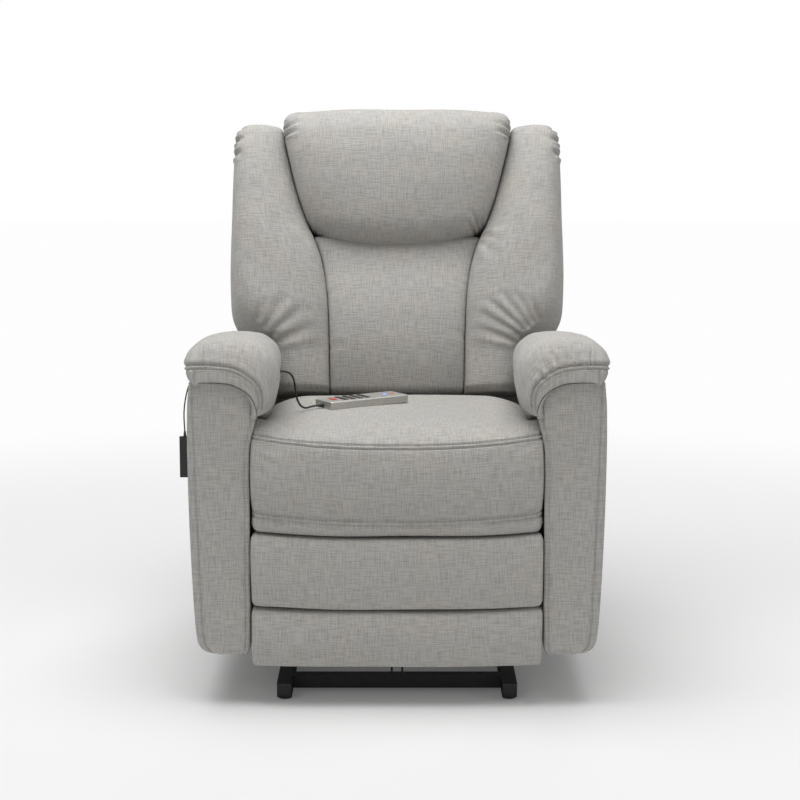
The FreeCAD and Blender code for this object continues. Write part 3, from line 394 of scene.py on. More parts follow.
def plain_finish(name, colour, roughness, metallic=0.0, grain=400.0, depth=0.00015, variation=0.12,
                 stretch=(1, 1, 1), specular=0.5):
    """A rigid finish: noise on the object's own coordinates varies its colour and roughness and
    raises a fine bump."""
    material, tree, shader = shader_tree(name)
    place = add(tree, "TexCoord").outputs["Object"]
    vector = add(tree, "Mapping", {"Vector": place, "Scale": stretch}).outputs[0]
    fine = add(tree, "TexNoise", {"Vector": vector, "Scale": grain, "Detail": 3.0}).outputs[0]
    wide = add(tree, "TexNoise", {"Vector": vector, "Scale": grain / 14, "Detail": 4.0}).outputs[0]
    base = Vector(colour)
    share = remap(tree, wide, 0.35, 0.65)
    mixed = blend_colours(tree, share, colour4(base * (1 - variation)), colour4(base * (1 + variation)))
    rough = remap(tree, fine, 0.3, 0.7, roughness * 0.85, min(1.0, roughness * 1.15))
    wire(tree, shader, {"Base Color": mixed, "Roughness": rough, "Normal": bump(tree, fine, 0.5, depth),
                        "Metallic": metallic, "Specular IOR Level": specular})
    return material


def timber(name):
    """Birch: rings from a banded wave along the height, bent by noise stretched along the grain."""
    material, tree, shader = shader_tree(name)
    place = add(tree, "TexCoord").outputs["Object"]
    vector = add(tree, "Mapping", {"Vector": place, "Scale": (9, 1.2, 9)}).outputs[0]
    bands = {"Vector": vector, "Scale": 2.2, "Distortion": 5.0, "Detail": 3.0}
    rings = add(tree, "TexWave", bands).outputs[1]
    grain = add(tree, "TexNoise", {"Vector": vector, "Scale": 60.0, "Detail": 4.0}).outputs[0]
    share = calculate(tree, "MULTIPLY", rings, grain)
    mixed = blend_colours(tree, share, (0.62, 0.44, 0.25, 1), (0.38, 0.23, 0.11, 1))
    wire(tree, shader, {"Base Color": mixed, "Normal": bump(tree, grain, 0.4, 0.0003), "Roughness": 0.6})
    return material


HANDSET_TURN = math.radians(34.0)
HANDSET_MIDDLE = (-0.069, -0.150)
LENSES_FROM_MIDDLE = 0.0605


def indicator_finish():
    """Two lenses in one node: the place along the handset decides between red and lit blue. The red lens,
    which is not lit, gets a faint painted glow.
    """
    material, tree, shader = shader_tree("indicator_lenses")
    place = add(tree, "TexCoord").outputs["Object"]
    ahead = (math.cos(HANDSET_TURN), math.sin(HANDSET_TURN), 0)
    along = add(tree, "VectorMath", {0: place, 1: ahead}, operation="DOT_PRODUCT").outputs["Value"]
    middle = HANDSET_MIDDLE[0] * ahead[0] + HANDSET_MIDDLE[1] * ahead[1]
    far = calculate(tree, "GREATER_THAN", along, middle + LENSES_FROM_MIDDLE)
    ripple = add(tree, "TexVoronoi", {"Vector": place, "Scale": 700.0}).outputs[0]
    colour = blend_colours(tree, far, (0.02, 0.05, 0.9, 1), (0.62, 0.09, 0.08, 1))
    # The blue lens is lit; the red lens is not lit and gets a faint painted glow (strength 0.25)
    glow = blend_colours(tree, far, (0.02, 0.09, 1.0, 1), (0.55, 0.08, 0.06, 1))
    wire(tree, shader, {"Base Color": colour, "Emission Color": glow,
                        "Emission Strength": remap(tree, far, 0.0, 1.0, 9.0, 0.25),
                        "Normal": bump(tree, ripple, 0.2, 0.0002), "Roughness": 0.22})
    return material


def finish(key):
    """Each finish is made once and found again by its key."""
    found = FINISHES.get(key)
    if found is None:
        found = FINISHES[key] = FINISH_MAKERS[key]()
    return found


def settings():
    """The sizes and colours that a user can change in the panel."""
    return bpy.context.scene.recliner


FINISHES = {}
FINISH_MAKERS = {
    "cloth": lambda: woven_cloth(settings()),
    "thread": lambda: plain_finish("sewing_thread", Vector(settings().cloth_colour) * 0.62, 0.8, grain=900.0),
    "black_steel": lambda: plain_finish("black_powder_coat", settings().base_colour, 0.5, grain=900.0,
                                        depth=0.0002, variation=0.25, specular=0.25),
    "zinc": lambda: plain_finish("zinc_plated_steel", (0.52, 0.53, 0.54), 0.34, 0.95, grain=260.0,
                                 variation=0.18),
    "dark_plastic": lambda: plain_finish("dark_moulded_plastic", (0.012, 0.012, 0.013), 0.48, grain=1400.0,
                                         specular=0.3),
    "grey_plastic": lambda: plain_finish("grey_moulded_plastic", (0.16, 0.165, 0.17), 0.5, grain=1200.0),
    "rod_steel": lambda: plain_finish("ground_steel_rod", (0.62, 0.62, 0.61), 0.2, 1.0, grain=500.0,
                                      stretch=(6, 0.4, 6), variation=0.06),
    "rubber": lambda: plain_finish("black_rubber", (0.014, 0.014, 0.015), 0.55, grain=1100.0, variation=0.2),
    "timber": lambda: timber("birch_timber"),
    "aluminium": lambda: plain_finish("satin_aluminium", settings().handset_colour, 0.34, 0.55, grain=1500.0,
                                      depth=0.00004, variation=0.05),
    "key_plastic": lambda: plain_finish("key_plastic", (0.02, 0.02, 0.022), 0.4, grain=1500.0, depth=0.00005),
    "red_key": lambda: plain_finish("red_key_plastic", (0.55, 0.03, 0.02), 0.35, grain=1500.0, depth=0.00005),
    "lenses": indicator_finish,
    "tag": lambda: plain_finish("tag_card", (0.012, 0.012, 0.013), 0.42, grain=900.0, variation=0.3),
    "lining": lambda: plain_finish("black_dust_cover", (0.03, 0.03, 0.032), 0.9, grain=1600.0, depth=0.0003),
}


# Backrest, in its upright frame

LUMBAR_PLACES = (98.0, 197.0, 254.0, 312.0, 383.0, 436.0)
LUMBAR_HALF = (141.0, 141.0, 143.0, 148.0, 160.0, 178.0)
PILLOW_PLACES = (400.0, 431.0, 450.0, 509.0, 586.0, 636.0, 665.0, 711.0)
PILLOW_HALF = (168.0, 176.0, 185.0, 207.0, 227.0, 238.0, 242.0, 243.0)
PILLOW_FRONT_PLACES = (436, 452, 478, 515, 560, 600, 645, 680, 711)
PILLOW_FRONT = (-100, -119, -133, -145, -153, -155, -148, -132, -108)
PILLOW_LOW, PILLOW_HIGH = 436.0, 711.0
PILLOW_SAG, PILLOW_ARCH = 31.0, 4.0
LUMBAR_LOW, LUMBAR_HIGH = 97.0, 435.5
CUSHION_REAR = 15.0
WING_TOP, WING_REAR = 685.0, 87.4
WING_SWELL = 11.0
SHOULDER_ROUND, RIM_ROUND = 90.0, 42.0
STEEPEST = 0.97
WING_FRONT_PLACES = (98, 112, 190, 224, 300, 400, 520, 610, 660, 678, 685)
WING_FRONT = (-88, -106, -118, -126, -136, -136, -128, -112, -88, -62, -38)
WING_PATH = ((98, 250), (104, 258), (120, 262), (170, 263), (206, 264), (215, 268), (219, 285), (222, 305),
             (229, 325), (241, 341), (260, 350), (300, 353), (400, 353), (520, 351), (615, 348), (655, 345),
             (674, 338), (682, 329), (685, 318))


def levels_between(low, high, count, tight=1.35):
    """Levels from low to high that crowd towards both ends: h goes as a softened sine."""
    t = np.linspace(-1, 1, count)
    s = np.sin(t * math.pi / 2)
    mixed = t + (s - t) * min(1.0, tight - 0.35)
    return (low + high) / 2 + (high - low) / 2 * mixed


def rounding(distance, radius, power=2.0):
    """How far a ring draws in near an end: radius times 1 - (1 - q^p)^(1/p)."""
    q = np.clip(1 - distance / radius, 0, 1)
    return radius * (1 - (1 - q ** power) ** (1 / power))


def seam_half(h):
    """Half the width at the seam beside the lumbar cushion and, above it, beside the pillow."""
    low = smooth(LUMBAR_PLACES, LUMBAR_HALF, h)
    high = smooth(PILLOW_PLACES, PILLOW_HALF, h)
    share = np.clip((h - 424) / 20, 0, 1)
    share = share * share * (3 - 2 * share)
    return low + (high - low) * share


# Each fold runs from one place to another, then its depth and its breadth
PILLOW_TUCKS = [(241, 662, 204, 676, 6.0, 4.5), (242, 645, 206, 651, 5.5, 4.5),
                (238, 679, 212, 692, 4.5, 4.0)]
PILLOW_CORNER_FOLDS = [
    (177, 444, 156, 480, 5.5, 4.5), (172, 438, 140, 458, 4.5, 5.0), (182, 452, 174, 488, 3.5, 4.5),
    (-174, 444, -154, 468, 2.6, 6.0), (-168, 436, -134, 452, 2.0, 7.0)]
LUMBAR_FOLDS = [(-146, 300, -116, 322, 1.8, 9), (148, 318, 120, 340, 1.8, 9),
                (-140, 190, -108, 200, 1.6, 9), (141, 210, 112, 224, 1.6, 9)]
EDGE_PLEATS = [(349, 668, 322, 672, 6.5, 5.5), (351, 642, 324, 640, 7.0, 5.5), (351, 612, 328, 604, 6.5, 6.0)]
RIGHT_FOLDS = EDGE_PLEATS + [
    (252, 214, 170, 262, 8.5, 9.0), (262, 224, 184, 290, 10.0, 8.0), (272, 232, 210, 304, 10.0, 7.5),
    (282, 240, 238, 304, 8.5, 7.5), (240, 202, 164, 234, 6.5, 10.0), (294, 247, 268, 296, 6.0, 8.0),
    (180, 414, 206, 378, 4.5, 9.0), (184, 430, 216, 408, 4.0, 9.0)]
LEFT_FOLDS = EDGE_PLEATS + [
    (256, 220, 186, 274, 6.5, 12.0), (242, 204, 170, 238, 5.5, 12.0), (272, 232, 228, 296, 6.0, 11.0),
    (290, 244, 268, 286, 4.0, 10.0)]


def front_column(ux, uy):
    """The column of a ring that runs up the middle of the front."""
    return int(np.argmin(np.where(uy > 0, np.abs(ux), 9)))


def head_pillow():
    """Superellipse rings from the bottom to the top. Each ring is drawn in near both ends, the
    front swells as 1 - x^2, and the bottom edge sags at the middle."""
    ux, uy = soft_ring((3.4, 3.4, 7, 7), 2.9, 281)
    low, high = PILLOW_LOW, PILLOW_HIGH
    h = levels_between(low, high, 170)
    half = smooth(PILLOW_PLACES, PILLOW_HALF, h)
    front = smooth(PILLOW_FRONT_PLACES, PILLOW_FRONT, h)
    side_in = rounding(np.minimum(h - low, high - h), 34.0, 2.4)
    depth_in = np.where(h > 560, rounding(high - h, 74.0, 2.1), rounding(h - low, 46.0, 2.2))
    middle = (CUSHION_REAR + front) / 2
    reach = (CUSHION_REAR - front) / 2
    x = (half - side_in)[:, None] * ux[None]
    y = middle[:, None] - np.maximum(reach - depth_in, 1.0)[:, None] * uy[None]
    facing = np.clip(uy, 0, 1)[None]
    y = y - 10.0 * (1 - ux[None] ** 2) * facing
    share = (h[:, None] - low) / (high - low)
    z = h[:, None] - PILLOW_SAG * (1 - (x / 182.0) ** 2).clip(0, 1) * (1 - share) ** 2 * facing
    z = z + PILLOW_ARCH * (1 - (x / 240.0) ** 2).clip(0, 1) * share ** 3
    grid = spread(x, y, z)
    out = normals(grid, True)
    left_tucks = [(-a, b, -c, d, deep, broad) for a, b, c, d, deep, broad in PILLOW_TUCKS]
    tucks = left_tucks + PILLOW_TUCKS + PILLOW_CORNER_FOLDS
    edge = np.clip((uy[None] + 0.3) / 0.3, 0, 1)
    shift = creases(x, z, tucks) * edge
    shift += 1.2 * np.sin(x / 37.0 + 1.3 * np.sin(z / 51.0)) * np.sin(z / 43.0 + 0.6) * facing
    grid = grid + out * shift[..., None]
    upholstered("head_pillow_dressed", closed(lean(grid), cloth_uv(grid, front_column(ux, uy))),
                "backrest", "head_pillow")


def lumbar_cushion():
    """Flat-fronted superellipse rings whose sides are the two sewn seams."""
    ux, uy = soft_ring((13, 13, 10, 10), 2.0, 241)
    low, high = LUMBAR_LOW, LUMBAR_HIGH
    h = levels_between(low, high, 120)
    half = smooth(LUMBAR_PLACES, LUMBAR_HALF, h) + 0.3
    front = smooth((97, 130, 170, 215, 262, 310, 360, 436), (-72, -84, -95, -102, -104, -99, -87, -70), h)
    draw = np.maximum(rounding(h - low, 14.0), rounding(high - h, 14.0))
    middle = (CUSHION_REAR + front) / 2
    reach = (CUSHION_REAR - front) / 2
    x = (half - draw * 0.3)[:, None] * ux[None]
    y = middle[:, None] - (reach - draw)[:, None] * uy[None]
    facing = np.clip(uy, 0, 1)[None]
    swell = smooth((97, 220, 330, 436), (14, 20, 18, 13), h)[:, None]
    y = y - swell * (1 - np.abs(ux[None]) ** 2.6) * facing
    z = h[:, None]
    grid = spread(x, y, z)
    out = normals(grid, True)
    shift = 0.9 * np.sin(x / 41.0 + 0.8) * np.sin(z / 57.0) * facing
    shift += creases(x, z, LUMBAR_FOLDS) * facing
    grid = grid + out * shift[..., None]
    upholstered("lumbar_cushion_dressed", closed(lean(grid), cloth_uv(grid, front_column(ux, uy))),
                "backrest", "lumbar_cushion")


def wing(side, name, node, lines, deeper):
    """Rings between the sewn seam and the outer side. From the seam the face rises out of the crease,
    and below the shoulder it falls away towards the arm before the outer side steps in behind it."""
    ux, uy = soft_ring((8, 12, 9, 9), 0.8, 251)
    path = flowing(WING_PATH, 260)
    h = path[:, 0]
    inner = seam_half(h) + 0.5 + rounding(WING_TOP - h, 26.0)
    outer = path[:, 1]
    front = smooth(WING_FRONT_PLACES, WING_FRONT, h)[:, None]
    x = ((outer + inner) / 2)[:, None] + ((outer - inner) / 2)[:, None] * ux[None]
    off_seam = np.clip(x - inner[:, None], 0, None)
    sunk = smooth((98, 200, 300, 380, 425, 450, 520, 600, 685),
                  (22, 26, 32, 38, 44, 48, 44, 34, 16), h)[:, None]
    sinking = smooth((98, 300, 420, 520, 685), (120, 140, 140, 120, 95), h)[:, None]
    rising = smooth((98, 300, 420, 520, 620, 685), (190, 205, 180, 150, 115, 100), h)[:, None]
    face = front + sunk * (1 - np.clip(off_seam / sinking, 0, 1)) ** 2.4
    face = face - WING_SWELL * np.sin(math.pi * np.clip(off_seam / rising, 0, 1) ** 0.8)
    shoulder = smooth((98, 190, 225, 270, 330, 400), (290, 296, 324, 366, 396, 430), h)[:, None]
    turned = np.clip((x - shoulder + SHOULDER_ROUND) / SHOULDER_ROUND, 0, STEEPEST)
    face = face + SHOULDER_ROUND * (1 - np.sqrt(1 - turned ** 2))
    rim = smooth((98, 222, 262, 300, 600, 685), (0, 0, 0.7, 1, 1, 0.6), h)[:, None]
    turned = np.clip((x - outer[:, None] + RIM_ROUND) / RIM_ROUND, 0, 1) * STEEPEST
    face = face + RIM_ROUND * rim * (1 - np.sqrt(1 - turned ** 2))
    y = (WING_REAR + face) / 2 - (WING_REAR - face) / 2 * uy[None]
    facing = np.clip(uy, 0, 1)[None]
    z = h[:, None]
    grid = spread(x, y, z)
    out = normals(grid, True)
    edge = np.clip((uy[None] + 0.3) / 0.3, 0, 1)
    shift = creases(x, z, lines) * edge
    shift += deeper * 1.3 * np.sin(x / 29.0 + 2.1 + 0.9 * np.sin(z / 38.0)) * np.sin(z / 47.0 + 1.0) * facing
    grid = grid + out * shift[..., None]
    if side < 0:
        grid = flipped(grid)
    upholstered(name, closed(lean(grid), cloth_uv(grid, front_column(ux, uy))), "backrest", node)


def back_cover():
    """Rounded slab behind the cushions with a swelling rear, and the lid that closes the top."""
    ux, uy = soft_ring((9, 9, 5, 5), 9.0, 181)
    path = flowing(((-70, 244), (-66, 254), (-54, 262), (60, 262), (200, 262), (213, 264), (217, 286),
                    (218, 320), (222, 338), (236, 346), (400, 346), (600, 343), (655, 339), (676, 330),
                    (684, 316)), 150)
    h, half = path[:, 0], path[:, 1]
    draw = np.maximum(rounding(h + 70, 12.0), rounding(685.0 - h, 14.0))
    x = half[:, None] * ux[None]
    front, rear = 88.0, 114.0
    y = (front + rear) / 2 - (rear - front) / 2 * uy[None] * (1 - draw[:, None] / 26)
    y = y + 9.0 * (1 - ux[None] ** 2) * np.clip(-uy, 0, 1)[None] * (1 - draw[:, None] / 16).clip(0, 1)
    panel = spread(x, y, h[:, None])
    lx, ly = soft_ring((8, 8, 8, 8), 6.0, 121)
    lid_h = levels_between(650.0, 681.0, 24)
    pull = rounding(681.0 - lid_h, 9.0)
    lid_x = (241.0 - pull)[:, None] * lx[None]
    lid_y = 54.0 - (38.0 - pull)[:, None] * ly[None]
    top = spread(lid_x, lid_y, lid_h[:, None] + 3.0 * (1 - lx[None] ** 2) * (lid_h[:, None] > 670))
    patches = closed(lean(panel), cloth_uv(panel, 135)) + closed(lean(top), cloth_uv(top, 30))
    upholstered("outer_back_dressed", patches, "backrest", "outer_back_cover")


STRAP_LEVELS = (130.0, 210.0, 290.0, 420.0, 520.0)
STRAP_BREADTH, STRAP_HALF, STRAP_PLACE = 50.0, 142.5, 17.5


def back_straps():
    """Five woven straps: flat bands whose thickness follows a cosine across them, as seven ribs."""
    patches = []
    for low in STRAP_LEVELS:
        x, z = np.meshgrid(np.linspace(-STRAP_HALF, STRAP_HALF, 40),
                           np.linspace(low, low + STRAP_BREADTH, 22))
        thick = 1.6 + 0.35 * np.cos((z - low) / STRAP_BREADTH * 2 * math.pi * 7)
        for face in (-1, 1):
            grid = spread(x, STRAP_PLACE + face * thick, z)
            patches.append((lean(grid), np.stack([x, z], axis=2) * MM))
    obj = mesh_piece("back_straps", patches, finish("lining"), "backrest")
    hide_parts("back_webbing")


def pull_through():
    """The cloth that closes the back frame below the lumbar cushion: thin rounded rings from the
    hinge line up to the cushion."""
    ux, uy = soft_ring((6, 6, 6, 6), 20.0, 161)
    h = levels_between(4.0, 112.0, 40)
    half = smooth((4, 22, 44, 112), (196, 200, 262, 267), h)
    x = half[:, None] * ux[None]
    slack = 5.0 * np.sin(math.pi * (h[:, None] - 4.0) / 108.0) * (1 - ux[None] ** 2)
    grid = spread(x, 13.0 - 4.5 * uy[None] - slack, h[:, None])
    folds = [(-150, 90, -60, 84, 1.6, 8), (40, 88, 140, 94, 1.6, 8), (-60, 40, 70, 46, 1.2, 9)]
    grid = grid + normals(grid, True) * creases(x, h[:, None], folds)[..., None]
    upholstered("back_pull_through", closed(lean(grid), cloth_uv(grid, 40)), "backrest")


# Seat and footrest

SEAT_HALF, PAD_HALF = 269.5, 270.0
SEAT_END_RADIUS, PAD_END_RADIUS = 17.0, 9.0
SEAT_CROWN = 529.0
FINE_POINTS = 1601
FRONT_SEAMS_FROM = -395.0
UPPER_SEAM, UPPER_SEAM_RISE = 491.0, 19.0
LOWER_SEAM, LOWER_SEAM_RISE = 355.0, 17.0
SEAM_BREADTH = 8.0
PAD_REAR, PAD_FRONT = -392.5, -449.0
SEAT_FOLDS = [(-250, 498, -206, 484, 1.8, 7), (250, 500, 208, 486, 1.8, 7), (-250, 382, -210, 392, 1.6, 8),
              (250, 382, 210, 394, 1.8, 8), (-240, 470, -206, 456, 1.4, 9), (240, 442, 208, 438, 1.4, 9)]
UPPER_PAD_FOLDS = [(-262, 322, -226, 308, 1.8, 7), (262, 322, 228, 306, 1.8, 7),
                   (-264, 200, -232, 212, 1.8, 7), (264, 200, 230, 214, 1.8, 7)]
LOWER_PAD_FOLDS = [(-262, 184, -228, 172, 1.6, 7), (262, 184, 228, 170, 1.6, 7)]


def cushion_log(half, profile, end_radius, stations, count, end_power=2.2):
    """Rings across the chair. The profile gives (y, z) for each x, and towards both side ends each
    ring is drawn in along its own inward normal by the rounding of the last stretch."""
    t = np.linspace(-1, 1, stations)
    x = half * np.sin(t * math.pi / 2) * 0.5 + half * t * 0.5
    ring = profile(x / half, count)
    ahead = np.gradient(ring, axis=1)
    ahead[:, 0] = ahead[:, -1] = (ring[:, 1] - ring[:, -2]) / 2
    length = np.maximum(np.linalg.norm(ahead, axis=2, keepdims=True), 1e-9)
    inward = np.stack([-ahead[..., 1], ahead[..., 0]], axis=2) / length
    middle = ring.mean(axis=1, keepdims=True)
    if ((middle - ring) * inward).sum() < 0:
        inward = -inward
    pull = rounding(half - np.abs(x), end_radius, end_power)
    ring = ring + inward * pull[:, None, None]
    return spread(x[:, None], ring[..., 0], ring[..., 1]), ring


def towards_side(place):
    """How far a place lies from the middle of the seat to its side, growing as a square."""
    return (np.clip(np.abs(place) - 0.1, 0, 1) / 0.9) ** 2


def seat_profile(place, count):
    """The seat from the side: flat below, a band, a bulging front between two seams, a soft crown.
    Towards the sides the front draws in, its upper edge swells up to the arm and the crown droops.
    The points of each ring lie four times as close over the front, which carries the seams."""
    rings = []
    for s in towards_side(place):
        rise, draw = 12.0 * s, 8.0 * s * s
        crown = SEAT_CROWN - 6.0 * s * s
        droop = 24.0 * np.clip((s - 0.42) / 0.58, 0, 1) ** 1.5
        sag = 7.0 * (1 - s)
        shoulder = 24.0 * np.clip((s - 0.55) / 0.45, 0, 1) ** 1.2
        below = ((60, 331.5), (-200, 331), (-409, 331))
        front = ((-428, 333 - sag), (-439, 345 - sag * 0.8), (-437, 364 + 9 * s), (-447, 392 + 6 * s),
                 (-450, 432 + 6 * s), (-447, 464 + rise), (-438, 492 + rise * 1.5),
                 (-412, 512 + rise * 0.8 + shoulder))
        above = ((-360, crown - 3 - droop * 0.2 + shoulder), (-260, crown - droop * 0.5),
                 (-120, crown - droop), (0, crown - 6 - droop), (58, crown - 14 - droop))
        behind = ((83, crown - 29 - droop), (92, crown - 56 - droop), (94, 420), (90, 345))
        front = tuple((y + draw, z) for y, z in front)
        rings.append(flowing(below + front + above + behind, FINE_POINTS, closed=True))
    rings = np.array(rings)
    middle = rings[len(rings) // 2]
    weight = np.where((middle[:-1, 0] < FRONT_SEAMS_FROM) & (middle[:-1, 1] > 340), 4.0, 1.0)
    along = np.concatenate([[0], np.cumsum(weight)])
    want = np.linspace(0, along[-1], count)
    pick = np.round(np.interp(want, along, np.arange(FINE_POINTS))).astype(int)
    rings = rings[:, pick]
    rings[:, -1] = rings[:, 0]
    return rings


def nearest_on(ring, z):
    """Index along a profile where its front passes a height."""
    distance = np.abs(ring[:, 1] - z) + np.where(ring[:, 0] < FRONT_SEAMS_FROM, 0, 1e6)
    return int(np.argmin(distance))


def seam_length(ring, length, level):
    """For each ring, the length along it at which its front first rises past the seam's level."""
    height, level = ring[..., 1], level[:, None]
    rising = (ring[:, 1:, 0] < FRONT_SEAMS_FROM) & (height[:, :-1] < level) & (height[:, 1:] >= level)
    i = rising.argmax(axis=1)
    rows = np.arange(len(ring))
    below, above = height[rows, i], height[rows, i + 1]
    share = (level[:, 0] - below) / np.maximum(above - below, 1e-6)
    return (length[rows, i] + share * (length[rows, i + 1] - length[rows, i]))[:, None]


def seat():
    """Rings along the side profile across the chair, with two double seams on the front, soft folds
    at their ends and a row of thread beside each seam."""
    grid, ring = cushion_log(SEAT_HALF, seat_profile, SEAT_END_RADIUS, 121, 421)
    out = normals(grid, True)
    x = grid[..., 0]
    share = towards_side(x[:, 0] / SEAT_HALF)
    front = np.clip((-390 - grid[..., 1]) / 20, 0, 1)
    length = np.cumsum(np.linalg.norm(np.diff(ring, axis=1, prepend=ring[:, :1]), axis=2), axis=1)
    upper = length - seam_length(ring, length, UPPER_SEAM + UPPER_SEAM_RISE * share)
    lower = length - seam_length(ring, length, LOWER_SEAM + LOWER_SEAM_RISE * share)
    shift = front * (groove(upper, 3.4, 2.3) + groove(upper - SEAM_BREADTH, 3.0, 2.3)
                     + groove(upper - SEAM_BREADTH / 2, -1.4, 2.2) + groove(lower, 3.0, 2.3)
                     + groove(lower + SEAM_BREADTH, 2.8, 2.3) + groove(lower + SEAM_BREADTH / 2, -0.8, 2.2))
    top = np.clip((grid[..., 2] - 505) / 14, 0, 1)
    shift += top * 1.6 * np.sin(x / 61.0 + 0.7) * np.sin(grid[..., 1] / 73.0)
    shift += front * 1.0 * np.sin(x / 44.0 + 1.1) * np.sin(grid[..., 2] / 31.0)
    shift += creases(x, grid[..., 2], SEAT_FOLDS) * front
    grid = grid + out * shift[..., None]
    uv = cloth_uv(grid, nearest_on(ring[60], 430))
    uv = np.stack([x * MM, uv[..., 0]], axis=2)
    upholstered("seat_cushion_dressed", closed(grid, uv), "chassis", "seat_cushion")
    rows = []
    stations = np.nonzero(np.abs(grid[:, 0, 0]) < SEAT_HALF - 9)[0].astype(float)
    beside, past = SEAM_BREADTH / 2, SEAM_BREADTH * 1.5
    for distance in (upper + beside, upper - past, lower - beside, lower + past):
        lines, steps = crossings(np.where(front > 0.5, distance, np.nan), stations.astype(int), True)
        rows.append(along_grid(grid, out, lines, steps))
    stitches = stitch_rows("seat_stitching", rows, finish("thread"), "chassis")


def pad_profile(low, high, rear, front, low_sag, high_sag):
    """A footrest pad from the side: flat behind and a full front, drawn in at the top and bottom,
    with both of its edges lower in the middle of the chair."""
    def profile(place, count):
        rings = []
        for p in place:
            s = p * p
            under, over = low_sag * (1 - s), high_sag * (1 - s)
            f = front + 5.0 * s
            h = high - low
            behind = ((rear, high - 6), (rear, (low + high) / 2), (rear, low + 6), (rear - 6, low))
            below = ((f + 24, low + 0.5 - under), (f + 9, low + 6 - under))
            face = ((f + 2, low + h * 0.26), (f, low + h * 0.52), (f + 2.5, low + h * 0.76))
            above = ((f + 10, high - 6 - over), (f + 25, high - 0.5 - over), (rear - 6, high - over))
            rings.append(flowing(behind + below + face + above, count, closed=True))
        rings = np.array(rings)
        rings[:, -1] = rings[:, 0]
        return rings
    return profile


def footrest_pad(name, node, low, high, lines, low_sag, high_sag):
    """Rings along the pad's profile across the chair, with soft folds near the corners."""
    profile = pad_profile(low, high, PAD_REAR, PAD_FRONT, low_sag, high_sag)
    grid, ring = cushion_log(PAD_HALF, profile, PAD_END_RADIUS, 111, 181, 2.0)
    out = normals(grid, True)
    x, z = grid[..., 0], grid[..., 2]
    front = np.clip((-400 - grid[..., 1]) / 20, 0, 1)
    shift = front * 0.9 * np.sin(x / 47.0 + low) * np.sin(z / 29.0 + 1.0)
    shift += creases(x, z, lines) * front
    grid = grid + out * shift[..., None]
    uv = cloth_uv(grid, nearest_on(ring[55], (low + high) / 2))
    uv = np.stack([x * MM + 0.13, uv[..., 0] + low * MM], axis=2)
    upholstered(name, closed(grid, uv), "footrest", node)


# Arms, drawn on the right and flipped for the left

ARM_FRONT, ARM_REAR = -424.0, 380.0
ARM_FOOT, ARM_TOP = 102.0, 611.0
ARM_BULGE = 2.5
SWEEP_RADIUS = 213.0
ROLL_FRONT, ROLL_REAR = -441.0, 60.0
ROLL_NOSE, ROLL_END_RADIUS = 58.0, 16.0
ROLL_LIP, ROLL_HEIGHT = 512.0, 178.0
ROLL_CORE_X, ROLL_CORE_Z, ROLL_CORE_REACH = 315.0, 610.0, 90.0
ROLL_FOOT_SINK = 34.0
BAND_SEAM_GAP = 7.5
FACING_LOW, FACING_HIGH = 101.5, 612.0
FACING_FRONT, FACING_REAR = -432.0, -408.0
ARM_SECTION = ((277, 101.5), (300, 101.5), (336, 101.5), (352, 103), (366, 111), (371.5, 124), (375, 160),
               (380, 260), (384, 400), (385.5, 500), (385, 560), (382, 592), (375, 607), (350, 611.5),
               (310, 612), (284, 612), (277.5, 606), (277, 500), (277, 350), (277, 200))
EDGE_TUCKS = [(353, 646, 353, 670, 4.5, 2.6), (369, 612, 369, 640, 3.5, 2.6)]
FRONT_GATHERS = EDGE_TUCKS + [
    (334, 646, 331, 668, 2.6, 4.5), (316, 645, 310, 674, 3.6, 5.0), (297, 640, 286, 670, 3.4, 5.5),
    (280, 631, 264, 656, 3.2, 6.0), (268, 620, 250, 640, 2.6, 6.0)]
ROLL_OUTLINE = ((371, 607), (382, 614), (389, 628), (391.5, 645), (384, 666), (364, 681.5), (340, 687.5),
                (312, 690), (276, 688), (252, 679.5), (236, 668), (226, 653), (219.5, 630), (219, 607),
                (221, 586), (226, 571), (235, 557.5), (247, 550), (262, 547), (275, 547))
BAND_EDGE = ((371, 612), (353, 613), (335, 613), (306, 610), (285, 601), (270, 590), (261, 576), (256, 560),
             (256, 548))


def arm_top(y):
    """Height of the arm behind the roll: it follows the sweep of the back's lower edge."""
    sweep = HINGE[2] + np.sqrt(np.clip(SWEEP_RADIUS ** 2 - (y - HINGE[1]) ** 2, 0, None))
    return np.where(y < ROLL_REAR + 2.0, ARM_TOP, np.maximum(np.minimum(sweep, ARM_TOP), HINGE[2] - 2.0))


def arm_cover(side, name, node):
    """The section runs along the arm. Both ends are drawn in, the outer side swells a little, and
    behind the roll every height above the foot is scaled to the arm's top there."""
    section = flowing(ARM_SECTION, 181, closed=True)
    section[-1] = section[0]
    y = np.concatenate([ARM_FRONT + np.linspace(0, 1, 9) ** 2 * 14, np.linspace(ARM_FRONT + 20, 50, 40),
                        np.linspace(56, ARM_REAR - 14, 70), ARM_REAR - np.linspace(1, 0, 9) ** 2 * 12])
    pull = np.maximum(rounding(y - ARM_FRONT, 12.0), rounding(ARM_REAR - y, 12.0))
    middle = np.array([325.0, 350.0])
    away = (middle - section) / np.linalg.norm(middle - section, axis=1, keepdims=True)
    ring = section[None] + away[None] * pull[:, None, None]
    scale = (arm_top(y) - ARM_FOOT) / (ARM_TOP - ARM_FOOT)
    z = ARM_FOOT + (ring[..., 1] - ARM_FOOT) * scale[:, None]
    along = np.clip((y - ARM_FRONT) / (ARM_REAR - ARM_FRONT), 0, 1)
    outside = np.clip((ring[..., 0] - 340) / 30, 0, 1)
    x = ring[..., 0] + ARM_BULGE * np.sin(math.pi * along)[:, None] * outside
    grid = spread(x, y[:, None], z)
    uv = cloth_uv(grid, 60)
    uv = np.stack([grid[..., 1] * MM, uv[..., 0]], axis=2)
    if side < 0:
        grid = flipped(grid)
    upholstered(name, closed(grid, uv), "chassis", node)


